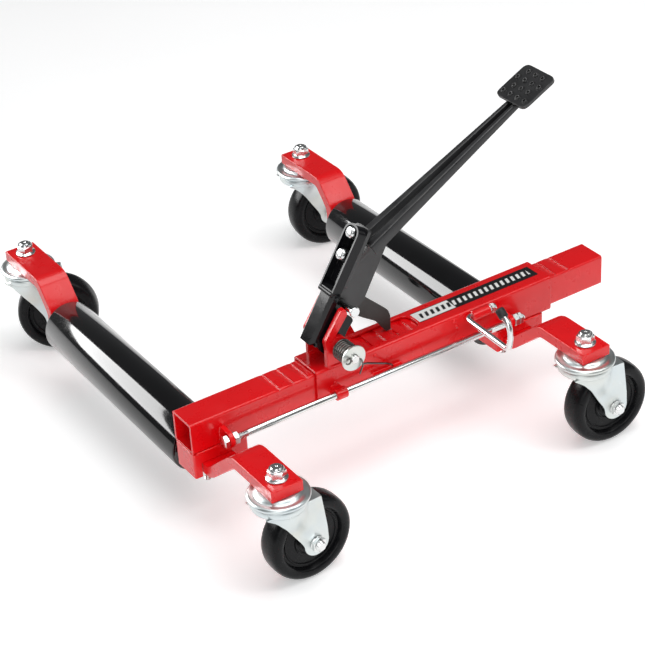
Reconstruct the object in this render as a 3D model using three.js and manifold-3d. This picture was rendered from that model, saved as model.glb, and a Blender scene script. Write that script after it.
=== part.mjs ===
// Ratchet wheel dolly: two rollers on a telescoping crossbar, carried by four swivel casters.
// Millimetres, +Z up, +X from the left arm to the right arm, +Y from the crossbar to the rollers.
// The pieces are placed with x = 0 at the crossbar's left end, y = 0 on its centre line and
// z = 0 on the floor. The whole dolly is then moved so that its origin is the bottom centre of its box.

import * as THREE from 'three';
import { mergeVertices } from 'three/addons/utils/BufferGeometryUtils.js';
import Module from 'manifold-3d';

const wasm = await Module();
wasm.setup();

// ---------------------------------------------------------------- driving dimensions
const GAP = 0.3;                       // space kept between neighbouring pieces
const RAD = Math.PI / 180;

const TUBE = { length: 557, side: 38, wall: 3, top: 142 };
const SLEEVE = { left: 155.5, right: 478.5, wall: 3 };
const SLEEVE_SIDE = TUBE.side + 2 * (SLEEVE.wall + 0.5);
const SLEEVE_TOP = TUBE.top + SLEEVE.wall + 0.5;
const SLEEVE_BOTTOM = SLEEVE_TOP - SLEEVE_SIDE;
const TUBE_BOTTOM = TUBE.top - TUBE.side;
const WINDOW = { left: 224, right: 301, width: 30 };
const RACK = { first: 102.8, pitch: 18, count: 23, length: 9, depth: 2 };

const ARM_X = { left: 29, right: 429 };         // centre of each arm's bars and roller
const BRACKET = { length: 66.5, bottom: 73, wall: 4, roof: 90.3, notch: 20 };
const BAR = { width: 38, thickness: 13, top: 135.5 };
const BAR_MIDDLE = BAR.top - BAR.thickness / 2;
const FRONT_AXIS_Y = -142;                      // swivel axis of the front casters
const REAR_AXIS_Y = 431;                        // swivel axis of the rear casters
const BAR_OVERHANG = 19;                        // from swivel axis to the end of the bar
const BRACKET_BOLT = { radius: 4, hole: 4.3, across: 13, nut: 8, end: 58.5 };
const BOLT_PLACES = [[-9, -8], [9, -8]];        // bracket bolts, from the arm's centre line

const ROLLER = { radius: 31.75, front: 25.5, length: 305, bore: 6.3, wall: 3, plug: 12 };
const AXLE = { radius: 6, height: 80.5, slack: 2.5, across: 18, nut: 7 };

const WHEEL = { radius: 50, width: 30, trail: 29, bore: 6.3, hub: 33.4, sides: 24 };
const FORK = { inside: 17.2, sheet: 3, crown: 107.5, top: 112.2 };
const RACE = { radius: 33.5, top: BAR.top - BAR.thickness - GAP, bottom: FORK.top + GAP };
const KING_BOLT = { radius: 6, hole: 6.3, across: 18, head: 9, flange: 12 };
const AXLE_BOLT = { radius: 6, across: 17, head: 6, stickOut: 7 };
const CASTERS = [
  { name: 'front_left', x: ARM_X.left, y: FRONT_AXIS_Y, turn: 2 },
  { name: 'front_right', x: ARM_X.right, y: FRONT_AXIS_Y, turn: -3 },
  { name: 'rear_left', x: ARM_X.left, y: REAR_AXIS_Y, turn: -28 },
  { name: 'rear_right', x: ARM_X.right, y: REAR_AXIS_Y, turn: -7 },
];

const PIVOT = { x: 187, z: 166.5, radius: 5 };  // foot lever's pivot
const PAWL_PIN = { x: 204, z: 208, radius: 4, head: 6, collar: 7 };
const EAR = { near: [-22, -15.5], far: [17.5, 22] };
const LEVER = { x: 155, z: 176, lean: 32, length: 139, half: 12.5, sheet: 3, depth: 12, tray: 60 };
const CLAMP_BOLT = { radius: 4, hole: 4.3, head: 7, top: -3.5, seat: 8.7, end: 16.2 };
const CLAMP_PLACES = [103.5, 129.5];            // clamp bolts, along the lever
const GUSSET = { near: -3, far: 3 };            // web between the pedal arm and the pawl pin
const PAWL = { near: 3.6, far: 9 };
const ARM = { x: 238, z: 270, rise: 26.5, length: 229, base: [34, 13], tip: [15, 6.5] };
const PAD = { width: 50, length: 50, thickness: 4, start: 223 };
const SPRING = { radius: 11, wire: 1.5, turns: 6, near: -46, far: -25 };

const STOP_ROD = { radius: 4, y: -35, z: 117.5, left: 28, right: 428, head: 5.5 };
const GRIP_AXIS = { y: -29, z: 141.5 };         // axis of the release handle
const HANDLE = { x: 352, radius: 3.4, cap: 5.4, capLength: 11 };

// ---------------------------------------------------------------- finishes
function finish(color, roughness, metalness) {
  return new THREE.MeshStandardMaterial({ color, roughness, metalness });
}
const RED = finish(0xd8141c, 0.3, 0.0);
const BLACK = finish(0x141416, 0.25, 0.0);
const DARK = finish(0x2b2b2b, 0.5, 0.0);
const ZINC = finish(0xc9d2d6, 0.3, 1.0);
const WHEEL_BLACK = finish(0x26282a, 0.55, 0.0);
const RUBBER = finish(0x1b1b1b, 0.8, 0.0);
const SPRING_STEEL = finish(0x2a2c2d, 0.45, 0.8);

// ---------------------------------------------------------------- joining and cutting
function welded(geometry) {
  const bare = geometry.clone();
  for (const name of Object.keys(bare.attributes)) {
    if (name !== 'position') bare.deleteAttribute(name);
  }
  const merged = mergeVertices(bare, 1e-4);
  const index = merged.index.array;
  const kept = [];
  for (let i = 0; i < index.length; i += 3) {
    const [a, b, c] = [index[i], index[i + 1], index[i + 2]];
    if (a !== b && b !== c && c !== a) kept.push(a, b, c);
  }
  merged.setIndex(kept);
  return merged;
}

function solid(geometry) {
  const merged = welded(geometry);
  return new wasm.Manifold(new wasm.Mesh({
    numProp: 3,
    vertProperties: new Float32Array(merged.attributes.position.array),
    triVerts: new Uint32Array(merged.index.array),
  }));
}

function geometryOf(manifold) {
  const mesh = manifold.getMesh();
  const geometry = new THREE.BufferGeometry();
  geometry.setAttribute('position', new THREE.BufferAttribute(mesh.vertProperties, 3));
  geometry.setIndex(new THREE.BufferAttribute(mesh.triVerts, 1));
  return geometry;
}

function join(first, ...others) {
  return geometryOf(others.reduce((sum, part) => sum.add(solid(part)), solid(first)));
}

function cut(first, ...tools) {
  return geometryOf(tools.reduce((rest, tool) => rest.subtract(solid(tool)), solid(first)));
}

// ---------------------------------------------------------------- shapes
const X = new THREE.Vector3(1, 0, 0);
const Y = new THREE.Vector3(0, 1, 0);
const Z = new THREE.Vector3(0, 0, 1);

// a box from its lowest to its highest corner
function block(x0, x1, y0, y1, z0, z1) {
  const box = new THREE.BoxGeometry(x1 - x0, y1 - y0, z1 - z0);
  return box.translate((x0 + x1) / 2, (y0 + y1) / 2, (z0 + z1) / 2);
}

function extruded(outline, depth, curveSegments = 3) {
  return new THREE.ExtrudeGeometry(outline, { depth, bevelEnabled: false, curveSegments });
}

// an outline drawn in x and z, given thickness from y0 to y1
function plateXZ(outline, y0, y1) {
  const plate = extruded(outline, y1 - y0);
  plate.applyMatrix4(new THREE.Matrix4().makeBasis(X, Z, Y.clone().negate()));
  return plate.translate(0, y1, 0);
}

// an outline drawn in y and z, given thickness from x0 to x1
function plateYZ(outline, x0, x1) {
  const plate = extruded(outline, x1 - x0);
  plate.applyMatrix4(new THREE.Matrix4().makeBasis(Y, Z, X));
  return plate.translate(x0, 0, 0);
}

// an outline drawn in x and y, given thickness from z0 to z1
function plateXY(outline, z0, z1) {
  return extruded(outline, z1 - z0).translate(0, 0, z0);
}

// a polygon whose corners are rounded: each point is [a, b] or [a, b, corner radius]
function outlineOf(points) {
  const shape = new THREE.Shape();
  const count = points.length;
  points.forEach((point, i) => {
    const corner = new THREE.Vector2(point[0], point[1]);
    const before = new THREE.Vector2(...points[(i + count - 1) % count].slice(0, 2));
    const after = new THREE.Vector2(...points[(i + 1) % count].slice(0, 2));
    const room = Math.min(before.distanceTo(corner), after.distanceTo(corner)) * 0.49;
    const reach = Math.min(point[2] ?? 0, room);
    const start = corner.clone().add(before.sub(corner).setLength(reach));
    const end = corner.clone().add(after.sub(corner).setLength(reach));
    if (i === 0) shape.moveTo(start.x, start.y);
    else shape.lineTo(start.x, start.y);
    if (reach > 0) shape.quadraticCurveTo(corner.x, corner.y, end.x, end.y);
  });
  shape.closePath();
  return shape;
}

function cylinderAlong(axis, radius, start, end, a, b, sides = 20) {
  const cylinder = new THREE.CylinderGeometry(radius, radius, end - start, sides);
  const middle = (start + end) / 2;
  if (axis === 'x') return cylinder.rotateZ(-Math.PI / 2).translate(middle, a, b);
  if (axis === 'y') return cylinder.translate(a, middle, b);
  return cylinder.rotateX(Math.PI / 2).translate(a, b, middle);
}

// a hexagon prism; across is the distance between its flats
function hexagonAlong(axis, across, start, end, a, b) {
  return cylinderAlong(axis, across / Math.sqrt(3), start, end, a, b, 6);
}

// a profile of [radius, height] turned about z
function turned(profile, sides) {
  const points = profile.map(([radius, height]) => new THREE.Vector2(radius, height));
  return new THREE.LatheGeometry(points, sides).rotateX(Math.PI / 2);
}

// a closed band of the given thickness along a path, with rounded bends
function bandOutline(path, thickness, bend) {
  const soft = [];
  path.forEach((point, i) => {
    if (i === 0 || i === path.length - 1) {
      soft.push(new THREE.Vector2(...point));
      return;
    }
    const corner = new THREE.Vector2(...point);
    const before = new THREE.Vector2(...path[i - 1]).sub(corner).setLength(bend).add(corner);
    const after = new THREE.Vector2(...path[i + 1]).sub(corner).setLength(bend).add(corner);
    soft.push(...new THREE.QuadraticBezierCurve(before, corner, after).getPoints(4));
  });
  const sideOf = (i, sign) => {
    const ahead = soft[Math.min(i + 1, soft.length - 1)].clone().sub(soft[i]).normalize();
    const behind = soft[i].clone().sub(soft[Math.max(i - 1, 0)]).normalize();
    const along = ahead.lengthSq() === 0 ? behind : ahead.add(behind).normalize();
    const cosine = i === 0 || i === soft.length - 1 ? 1 : Math.abs(along.dot(behind));
    const offset = new THREE.Vector2(-along.y, along.x).multiplyScalar((sign * thickness) / 2 / cosine);
    return soft[i].clone().add(offset);
  };
  const one = soft.map((_, i) => sideOf(i, 1));
  const other = soft.map((_, i) => sideOf(i, -1)).reverse();
  return new THREE.Shape([...one, ...other]);
}

// a closed skin through equal rings of points, with flat ends
function loft(rings) {
  const around = rings[0].length;
  const positions = rings.flat().flatMap((point) => point.toArray());
  const faces = [];
  for (let r = 0; r + 1 < rings.length; r += 1) {
    for (let i = 0; i < around; i += 1) {
      const a = r * around + i;
      const b = r * around + ((i + 1) % around);
      faces.push(a, b, b + around, a, b + around, a + around);
    }
  }
  const endFaces = THREE.ShapeUtils.triangulateShape(
    rings[0].map((point) => new THREE.Vector2(point.y, point.z)), []);
  const last = (rings.length - 1) * around;
  for (const [a, b, c] of endFaces) {
    faces.push(a, c, b);
    faces.push(last + a, last + b, last + c);
  }
  const geometry = new THREE.BufferGeometry();
  geometry.setAttribute('position', new THREE.BufferAttribute(new Float32Array(positions), 3));
  geometry.setIndex(faces);
  return geometry;
}

// a round bar along a curve
function wireAlong(curve, radius, steps, sides) {
  const circle = new THREE.Shape();
  for (let i = 0; i < sides; i += 1) {
    const angle = (2 * Math.PI * i) / sides;
    const point = [radius * Math.cos(angle), radius * Math.sin(angle)];
    if (i === 0) circle.moveTo(...point);
    else circle.lineTo(...point);
  }
  circle.closePath();
  return new THREE.ExtrudeGeometry(circle, { steps, bevelEnabled: false, extrudePath: curve });
}

function piece(name, geometry, material) {
  const mesh = new THREE.Mesh(welded(geometry), material);
  mesh.name = name;
  return mesh;
}

function groupOf(...children) {
  const group = new THREE.Group();
  group.add(...children);
  return group;
}

// ---------------------------------------------------------------- crossbar
function squareTube(left, right, side, wall, top) {
  const half = side / 2;
  const outside = block(left, right, -half, half, top - side, top);
  const inside = block(left - 1, right + 1, wall - half, half - wall, top - side + wall, top - wall);
  return cut(outside, inside);
}

function innerTube() {
  const grooves = [];
  const half = TUBE.side / 2 + 1;
  for (let i = 0; i < RACK.count; i += 1) {
    const start = RACK.first + i * RACK.pitch;
    const tooth = outlineOf([
      [start, TUBE.top],
      [start + RACK.length, TUBE.top - RACK.depth],
      [start + RACK.length, TUBE.top + 1],
      [start, TUBE.top + 1],
    ]);
    grooves.push(plateXZ(tooth, -half, half));
  }
  const tube = squareTube(0, TUBE.length, TUBE.side, TUBE.wall, TUBE.top);
  return piece('inner_tube', cut(tube, ...grooves), RED);
}

function outerSleeve() {
  const tube = squareTube(SLEEVE.left, SLEEVE.right, SLEEVE_SIDE, SLEEVE.wall, SLEEVE_TOP);
  const round = WINDOW.width / 2;
  const slot = outlineOf([
    [WINDOW.left, -round, 3],
    [WINDOW.right, -round, 13],
    [WINDOW.right, round, 13],
    [WINDOW.left, round, 3],
  ]);
  const window = plateXY(slot, SLEEVE_TOP - SLEEVE.wall - 0.2, SLEEVE_TOP + 1);
  return piece('outer_sleeve', cut(tube, window), RED);
}

// The bracket box hangs under the crossbar: solid roof, open underneath, with a notch in its
// front wall for the bar and a hole in its rear wall for the roller's axle.
function bracket(name, left, half, roof, armX) {
  const { length, bottom, wall } = BRACKET;
  const outside = block(left, left + length, -half, half, bottom, roof - GAP);
  const room = block(left + wall, left + length - wall, wall - half, half - wall, bottom - 1, BRACKET.roof);
  const notch = block(armX - BRACKET.notch, armX + BRACKET.notch, -half - 1, wall - half + 1,
    bottom - 1, BRACKET.roof);
  const axleHole = cylinderAlong('y', ROLLER.bore, 0, half + 1, armX, AXLE.height);
  const boltHoles = BOLT_PLACES.map(([dx, y]) =>
    cylinderAlong('z', BRACKET_BOLT.hole, BRACKET.roof - 1, roof + 1, armX + dx, y, 12));
  return piece(name, cut(outside, room, notch, axleHole, ...boltHoles), RED);
}

// ---------------------------------------------------------------- arms
function frontBar(name, x) {
  const path = [
    [FRONT_AXIS_Y - BAR_OVERHANG, BAR_MIDDLE],
    [-83.4, BAR_MIDDLE],
    [-31.1, 83.5],
    [14, 83.5],
  ];
  const band = plateYZ(bandOutline(path, BAR.thickness, 9), x - BAR.width / 2, x + BAR.width / 2);
  const kingHole = cylinderAlong('z', KING_BOLT.hole, 100, 150, x, FRONT_AXIS_Y, 16);
  const boltHoles = BOLT_PLACES.map(([dx, y]) =>
    cylinderAlong('z', BRACKET_BOLT.hole, 60, 100, x + dx, y, 12));
  return piece(name, cut(band, kingHole, ...boltHoles), RED);
}

function rearBar(name, x) {
  const tab = ROLLER.front + ROLLER.length + AXLE.slack + BAR.thickness / 2;
  const path = [
    [REAR_AXIS_Y + BAR_OVERHANG, BAR_MIDDLE],
    [365, BAR_MIDDLE],
    [tab, 99.7],
    [tab, AXLE.height - 14.5],
  ];
  const band = plateYZ(bandOutline(path, BAR.thickness, 8), x - BAR.width / 2, x + BAR.width / 2);
  const kingHole = cylinderAlong('z', KING_BOLT.hole, 100, 150, x, REAR_AXIS_Y, 16);
  const axleHole = cylinderAlong('y', ROLLER.bore, tab - 10, tab + 10, x, AXLE.height, 16);
  return piece(name, cut(band, kingHole, axleHole), RED);
}

function bracketBolt(name, x, y) {
  const { radius, across, nut: height, end } = BRACKET_BOLT;
  const under = BRACKET.bottom + 3.7 - GAP;
  const shank = cylinderAlong('z', radius, end, 95, x, y, 12);
  const nut = hexagonAlong('z', across, under - height, under, x, y);
  return piece(name, join(shank, nut), ZINC);
}

function roller(name, x) {
  const { radius, front, length, bore, wall, plug } = ROLLER;
  const inside = radius - wall;
  const profile = [
    [bore, 0], [radius - 1.5, 0], [radius, 1.5], [radius, length - 1.5], [radius - 1.5, length],
    [bore, length], [bore, length - plug], [inside, length - plug], [inside, plug], [bore, plug],
    [bore, 0],
  ];
  const body = turned(profile, 32).rotateX(-Math.PI / 2).translate(x, front, AXLE.height);
  return piece(name, body, BLACK);
}

function rollerAxle(name, x, half) {
  const end = ROLLER.front + ROLLER.length + AXLE.slack + BAR.thickness + AXLE.nut + 2;
  return piece(name, cylinderAlong('y', AXLE.radius, half - 4, end, x, AXLE.height, 16), ZINC);
}

function axleNut(name, x) {
  const start = ROLLER.front + ROLLER.length + AXLE.slack + BAR.thickness + GAP;
  const end = start + AXLE.nut;
  const nut = hexagonAlong('y', AXLE.across, start, end, x, AXLE.height);
  const hole = cylinderAlong('y', ROLLER.bore, start - 1, end + 1, x, AXLE.height, 16);
  return piece(name, cut(nut, hole), ZINC);
}

// ---------------------------------------------------------------- casters
// Each caster is drawn with its swivel axis on z and its wheel trailing towards +x.
function kingBolt(name) {
  const nutBottom = BAR.top + GAP;
  const shank = cylinderAlong('z', KING_BOLT.radius, 100, BAR.top + 15, 0, 0, 12);
  const flange = cylinderAlong('z', KING_BOLT.flange, nutBottom, nutBottom + 2, 0, 0, 16);
  const nut = hexagonAlong('z', KING_BOLT.across, nutBottom + 1, nutBottom + 12.5, 0, 0);
  const head = cylinderAlong('z', KING_BOLT.head, 97.5, FORK.crown - FORK.sheet - 0.8, 0, 0, 12);
  return piece(name, join(shank, flange, nut, head), ZINC);
}

function race(name) {
  const { radius, top, bottom } = RACE;
  const profile = [
    [KING_BOLT.hole, bottom], [radius - 4, bottom], [radius, bottom + 3], [radius - 1, bottom + 6],
    [radius - 9, top], [KING_BOLT.hole, top],
    [KING_BOLT.hole, bottom],
  ];
  return piece(name, turned(profile, 20), ZINC);
}

function fork(name) {
  const { inside, sheet, crown, top } = FORK;
  const outside = inside + sheet;
  const axle = { x: WHEEL.trail, z: WHEEL.radius };
  const leg = outlineOf([
    [-27, crown],
    [-27, crown - 4, 2],
    [-17, 98, 6],
    [-2, 77.5, 8],
    [axle.x - 16, axle.z + 1, 8],
    [axle.x - 12, axle.z - 14.5, 9],
    [axle.x + 11, axle.z - 14.5, 9],
    [axle.x + 15.5, axle.z, 8],
    [axle.x + 10, crown],
  ]);
  const roof = block(-27, axle.x + 10, -outside, outside, crown - sheet, crown);
  const ring = cylinderAlong('z', 29, crown - 1, top, 0, 0, 20);
  const kingHole = cylinderAlong('z', KING_BOLT.hole, crown - sheet - 1, top + 1, 0, 0, 16);
  const axleHole = cylinderAlong('y', WHEEL.bore, -outside - 1, outside + 1, axle.x, axle.z, 16);
  const legs = join(plateXZ(leg, -outside, -inside), plateXZ(leg, inside, outside), roof, ring);
  return piece(name, cut(legs, kingHole, axleHole), ZINC);
}

function wheel(name) {
  const { radius, width, bore, hub, sides } = WHEEL;
  const rim = radius / Math.cos(Math.PI / sides);
  const half = [
    [rim, width / 2 - 6], [rim - 3, width / 2 - 1.5], [rim - 9, width / 2], [34, width / 2 - 5],
    [13, hub / 2], [bore, hub / 2],
  ];
  const other = half.map(([r, y]) => [r, -y]).reverse();
  const points = [...half, ...other, half[0]].map(([r, y]) => new THREE.Vector2(r, y));
  const body = new THREE.LatheGeometry(points, sides, Math.PI / sides);
  return piece(name, body.translate(WHEEL.trail, 0, WHEEL.radius), WHEEL_BLACK);
}

function axleBolt(name) {
  const side = FORK.inside + FORK.sheet + GAP;
  const [x, z] = [WHEEL.trail, WHEEL.radius];
  const shank = cylinderAlong('y', AXLE_BOLT.radius, -side - AXLE_BOLT.stickOut, side + 3, x, z, 16);
  const nut = hexagonAlong('y', AXLE_BOLT.across, -side - AXLE_BOLT.head, -side, x, z);
  const head = hexagonAlong('y', AXLE_BOLT.across, side, side + AXLE_BOLT.head, x, z);
  return piece(name, join(shank, nut, head), ZINC);
}

function caster({ name, x, y, turn }) {
  const fixed = groupOf(kingBolt(`${name}_king_bolt`), race(`${name}_race`));
  const swivel = groupOf(fork(`${name}_fork`), axleBolt(`${name}_axle_bolt`), wheel(`${name}_wheel`));
  fixed.position.set(x, y, 0);
  swivel.position.set(x, y, 0);
  swivel.rotation.z = turn * RAD;
  return groupOf(fixed, swivel);
}

// ---------------------------------------------------------------- foot lever
// The near ear is a narrow finger on a small base; the far ear has a long foot on the sleeve.
function ear(name, [y0, y1], rightSide) {
  const outline = outlineOf([
    [171, SLEEVE_TOP + GAP],
    [171.3, 167, 2],
    [169.2, 178.2, 3],
    [192.3, 210.5, 4],
    [197.5, 210.5, 3],
    [200, 203, 3],
    [182, 180, 3],
    ...rightSide,
  ]);
  const hole = cylinderAlong('y', PIVOT.radius + GAP, y0 - 1, y1 + 1, PIVOT.x, PIVOT.z, 16);
  return piece(name, cut(plateXZ(outline, y0, y1), hole), RED);
}

function ears() {
  const foot = SLEEVE_TOP + GAP;
  return groupOf(
    ear('front_ear', EAR.near, [[195, 178, 9], [200, 163, 8], [204, foot]]),
    ear('rear_ear', EAR.far, [[196, 182, 6], [223, 170, 6], [234, foot]]),
  );
}

// Drawn standing up: z runs along the lever, x is its depth. The tray's open side faces -x.
function leverChannel() {
  const { length, half, sheet, depth, tray } = LEVER;
  const pivot = leverPoint(PIVOT);
  const cheek = outlineOf([
    [2, 0, 2],
    [2, tray + 6],
    [depth, tray + 6],
    [depth, 46, 6],
    [39.5, 42, 3],
    [44, 38.5, 3],
    [pivot.x + 9, pivot.z + 14, 8],
    [pivot.x + 15, pivot.z - 8, 9],
    [pivot.x + 4, pivot.z - 16, 9],
    [pivot.x - 12, pivot.z - 14, 9],
  ]);
  const cheeks = [[-half, sheet - half], [half - sheet, half]].map(([y0, y1]) => plateXZ(cheek, y0, y1));
  const web = block(2, 2 + sheet, -half + 1, half - 1, 2, tray + 4);
  const trayOutline = (inset) => outlineOf([
    [tray + inset, inset - half, 2],
    [length - inset, inset - half, half - inset],
    [length - inset, half - inset, half - inset],
    [tray + inset, half - inset, 2],
  ]);
  const slot = outlineOf([[97, -6, 5.9], [136, -6, 5.9], [136, 6, 5.9], [97, 6, 5.9]]);
  const body = join(standing(trayOutline(0), 0, depth), ...cheeks, web);
  const pocket = standing(trayOutline(2.5), -1, depth - sheet);
  const through = standing(slot, -1, depth + 1);
  const hole = cylinderAlong('y', PIVOT.radius + GAP, -half - 1, half + 1, pivot.x, pivot.z, 16);
  return piece('lever_channel', cut(body, pocket, through, hole), BLACK);
}

// an outline drawn along the lever and across it, given thickness from x0 to x1
function standing(outline, x0, x1) {
  const plate = extruded(outline, x1 - x0, 4);
  plate.applyMatrix4(new THREE.Matrix4().makeBasis(Z, Y, X.clone().negate()));
  return plate.translate(x1, 0, 0);
}

// a point of the x, z plane, seen along and across the lever
function leverPoint({ x, z }) {
  const [sine, cosine] = [Math.sin(LEVER.lean * RAD), Math.cos(LEVER.lean * RAD)];
  const [dx, dz] = [x - LEVER.x, z - LEVER.z];
  return { x: dx * cosine - dz * sine, z: dx * sine + dz * cosine };
}

function inLeverFrame(mesh) {
  const frame = groupOf(mesh);
  frame.position.set(LEVER.x, 0, LEVER.z);
  frame.rotation.y = LEVER.lean * RAD;
  return frame;
}

function clampBolt(name, along) {
  const { radius, head, top, seat, end } = CLAMP_BOLT;
  const dome = cylinderAlong('x', head, top, seat, 0, along, 16);
  const shank = cylinderAlong('x', radius, top, end, 0, along, 12);
  return piece(name, join(dome, shank), ZINC);
}

// The pressed arm tapers from the lever to the pad; its top has a ridge along each edge.
function pedalArm() {
  const ring = (x, width, depth) => {
    const half = width / 2;
    const groove = depth * 0.55;
    const section = [
      [-half, -depth], [half, -depth], [half, 0], [half * 0.62, 0],
      [half * 0.2, -groove], [-half * 0.2, -groove], [-half * 0.62, 0], [-half, 0],
    ];
    return section.map(([y, z]) => new THREE.Vector3(x, y, z));
  };
  const blade = loft([ring(0, ...ARM.base), ring(ARM.length, ...ARM.tip)]);
  return placedOnArm(blade);
}

function placedOnArm(geometry) {
  return geometry.rotateY(-ARM.rise * RAD).translate(ARM.x, 0, ARM.z);
}

function pedal() {
  const gusset = plateXZ(outlineOf([
    [248, 268],
    [279, 278],
    [235.5, 202, 2],
    [226, 192, 7],
    [208, 191, 9],
    [192, 203, 7],
    [199.8, 223.2],
  ]), GUSSET.near, GUSSET.far);
  const lean = new THREE.Matrix4().makeRotationY(LEVER.lean * RAD).setPosition(LEVER.x, 0, LEVER.z);
  const foot = block(LEVER.depth + GAP, 16.5, -12, 12, 70, LEVER.length).applyMatrix4(lean);
  const holes = CLAMP_PLACES.map((along) =>
    cylinderAlong('x', CLAMP_BOLT.hole, 10, 20, 0, along, 12).applyMatrix4(lean));
  const pinHole = cylinderAlong(
    'y', PAWL_PIN.radius + GAP, GUSSET.near - 1, GUSSET.far + 1, PAWL_PIN.x, PAWL_PIN.z, 16);
  const body = join(pedalArm(), gusset, foot);
  return piece('pedal_arm', cut(body, ...holes, pinHole), DARK);
}

function footPad() {
  const { width, length, thickness, start } = PAD;
  const half = width / 2;
  const plate = plateXY(outlineOf([
    [start, -half, 8], [start + length, -half, 8], [start + length, half, 8], [start, half, 8],
  ]), GAP, thickness);
  const studs = [];
  for (let row = 0; row < 4; row += 1) {
    const count = row % 2 === 0 ? 4 : 3;
    for (let i = 0; i < count; i += 1) {
      const stud = new THREE.CylinderGeometry(1.8, 2.8, 2, 6).rotateX(Math.PI / 2);
      const y = (i - (count - 1) / 2) * 12;
      studs.push(stud.translate(start + 7.5 + row * 11, y, thickness + 0.8));
    }
  }
  return piece('foot_pad', placedOnArm(join(plate, ...studs)), DARK);
}

function drivePawl() {
  const outline = outlineOf([
    [196, 204, 6],
    [204, 217, 8],
    [226, 208, 8],
    [239.8, 197.2, 3],
    [269, 169.3, 2.5],
    [272, 161, 3],
    [271.5, 142.8],
    [265.5, 142.8],
    [252.5, 161, 5],
    [234.8, 172.5, 8],
    [206, 195, 9],
  ]);
  const hole = cylinderAlong(
    'y', PAWL_PIN.radius + GAP, PAWL.near - 1, PAWL.far + 1, PAWL_PIN.x, PAWL_PIN.z, 16);
  return piece('drive_pawl', cut(plateXZ(outline, PAWL.near, PAWL.far), hole), DARK);
}

function pawlPin() {
  const { x, z, radius, head, collar } = PAWL_PIN;
  const shaft = cylinderAlong('y', radius, -31, 17, x, z, 16);
  const nearHead = cylinderAlong('y', head, -31, -28, x, z, 16);
  const farCollar = cylinderAlong('y', collar, 14, 17, x, z, 16);
  return piece('pawl_pin', join(shaft, nearHead, farCollar), ZINC);
}

function pivotPin() {
  const shaft = cylinderAlong('y', PIVOT.radius, -54, 26, PIVOT.x, PIVOT.z, 16);
  const head = cylinderAlong('y', 8, 22.4, 26, PIVOT.x, PIVOT.z, 16);
  return piece('pivot_pin', join(shaft, head), ZINC);
}

function pivotWasher() {
  const disc = cylinderAlong('y', 15, -50.5, -48.2, PIVOT.x, PIVOT.z, 24);
  const hole = cylinderAlong('y', PIVOT.radius + GAP, -52, -46, PIVOT.x, PIVOT.z, 16);
  return piece('pivot_washer', cut(disc, hole), ZINC);
}

function torsionSpring() {
  const { radius, turns, near, far } = SPRING;
  const points = [];
  const perTurn = 8;
  for (let i = 0; i <= turns * perTurn; i += 1) {
    const angle = (2 * Math.PI * i) / perTurn - Math.PI / 2;
    const y = far + ((near - far) * i) / (turns * perTurn);
    points.push(new THREE.Vector3(
      PIVOT.x + radius * Math.cos(angle), y, PIVOT.z + radius * Math.sin(angle)));
  }
  points.push(new THREE.Vector3(208, -43, 148));
  points.push(new THREE.Vector3(240, -32, 129));
  points.push(new THREE.Vector3(249, -28, 122));
  points.push(new THREE.Vector3(252, -26, 118));
  const curve = new THREE.CatmullRomCurve3(points, false, 'centripetal');
  return piece('torsion_spring', wireAlong(curve, SPRING.wire, 72, 5), SPRING_STEEL);
}

function springTab() {
  const face = -SLEEVE_SIDE / 2 - GAP;
  const outline = outlineOf([
    [226, 116], [236, 110, 2], [266, 110, 2], [266, 116],
  ]);
  return plateXZ(outline, face - 7, face);
}

// ---------------------------------------------------------------- stop rod
function rodPlate(name, x0, x1, face, half) {
  const { y, z } = STOP_ROD;
  const shoulder = half - 1;
  const outline = outlineOf([
    [face - GAP, z - half], [face - GAP, z + half], [y - 4, z + shoulder, 5], [y - shoulder, z, 5],
    [y - 4, z - shoulder, 5],
  ].reverse());
  const hole = cylinderAlong('x', STOP_ROD.radius + GAP, x0 - 1, x1 + 1, y, z, 16);
  return piece(name, cut(plateYZ(outline, x0, x1), hole), RED);
}

function stopRod() {
  const { radius, y, z, left, right, head: thickness } = STOP_ROD;
  const shaft = cylinderAlong('x', radius, left, right, y, z, 16);
  const head = hexagonAlong('x', 13, left, left + thickness, y, z);
  return piece('stop_rod', join(shaft, head), ZINC);
}

function rodNut(name, x0, x1) {
  const nut = hexagonAlong('x', 13, x0, x1, STOP_ROD.y, STOP_ROD.z);
  const hole = cylinderAlong('x', STOP_ROD.radius + GAP, x0 - 1, x1 + 1, STOP_ROD.y, STOP_ROD.z, 16);
  return piece(name, cut(nut, hole), ZINC);
}

function rodGuide() {
  const { y, z, radius } = STOP_ROD;
  const bush = cylinderAlong('x', 6.5, 170, 184, y, z, 16);
  const foot = block(171, 183, y, -SLEEVE_SIDE / 2 - GAP, z - 4, z + 4);
  const hole = cylinderAlong('x', radius + GAP, 169, 185, y, z, 16);
  return piece('rod_guide', cut(join(bush, foot), hole), RED);
}

// ---------------------------------------------------------------- release handle
function releaseBoss() {
  const { y, z } = GRIP_AXIS;
  const bush = cylinderAlong('x', 6, 359, 383, y, z, 16);
  const foot = block(359, 383, y, -SLEEVE_SIDE / 2 - GAP, z - 5, z + 2);
  const hole = cylinderAlong('x', HANDLE.radius + GAP, 358, 384, y, z, 16);
  return piece('release_boss', cut(join(bush, foot), hole), RED);
}

// The rod runs out from its axis, turns up at the elbow and bows back towards the crossbar.
function handlePoints() {
  const { y, z } = GRIP_AXIS;
  const at = (dy, dz) => new THREE.Vector3(HANDLE.x, y + dy, z + dz);
  return { corner: at(0, 0), elbow: at(-77, -3), rise: at(-78, 7), bow: at(-83, 25), top: at(-62, 39.5) };
}

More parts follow.
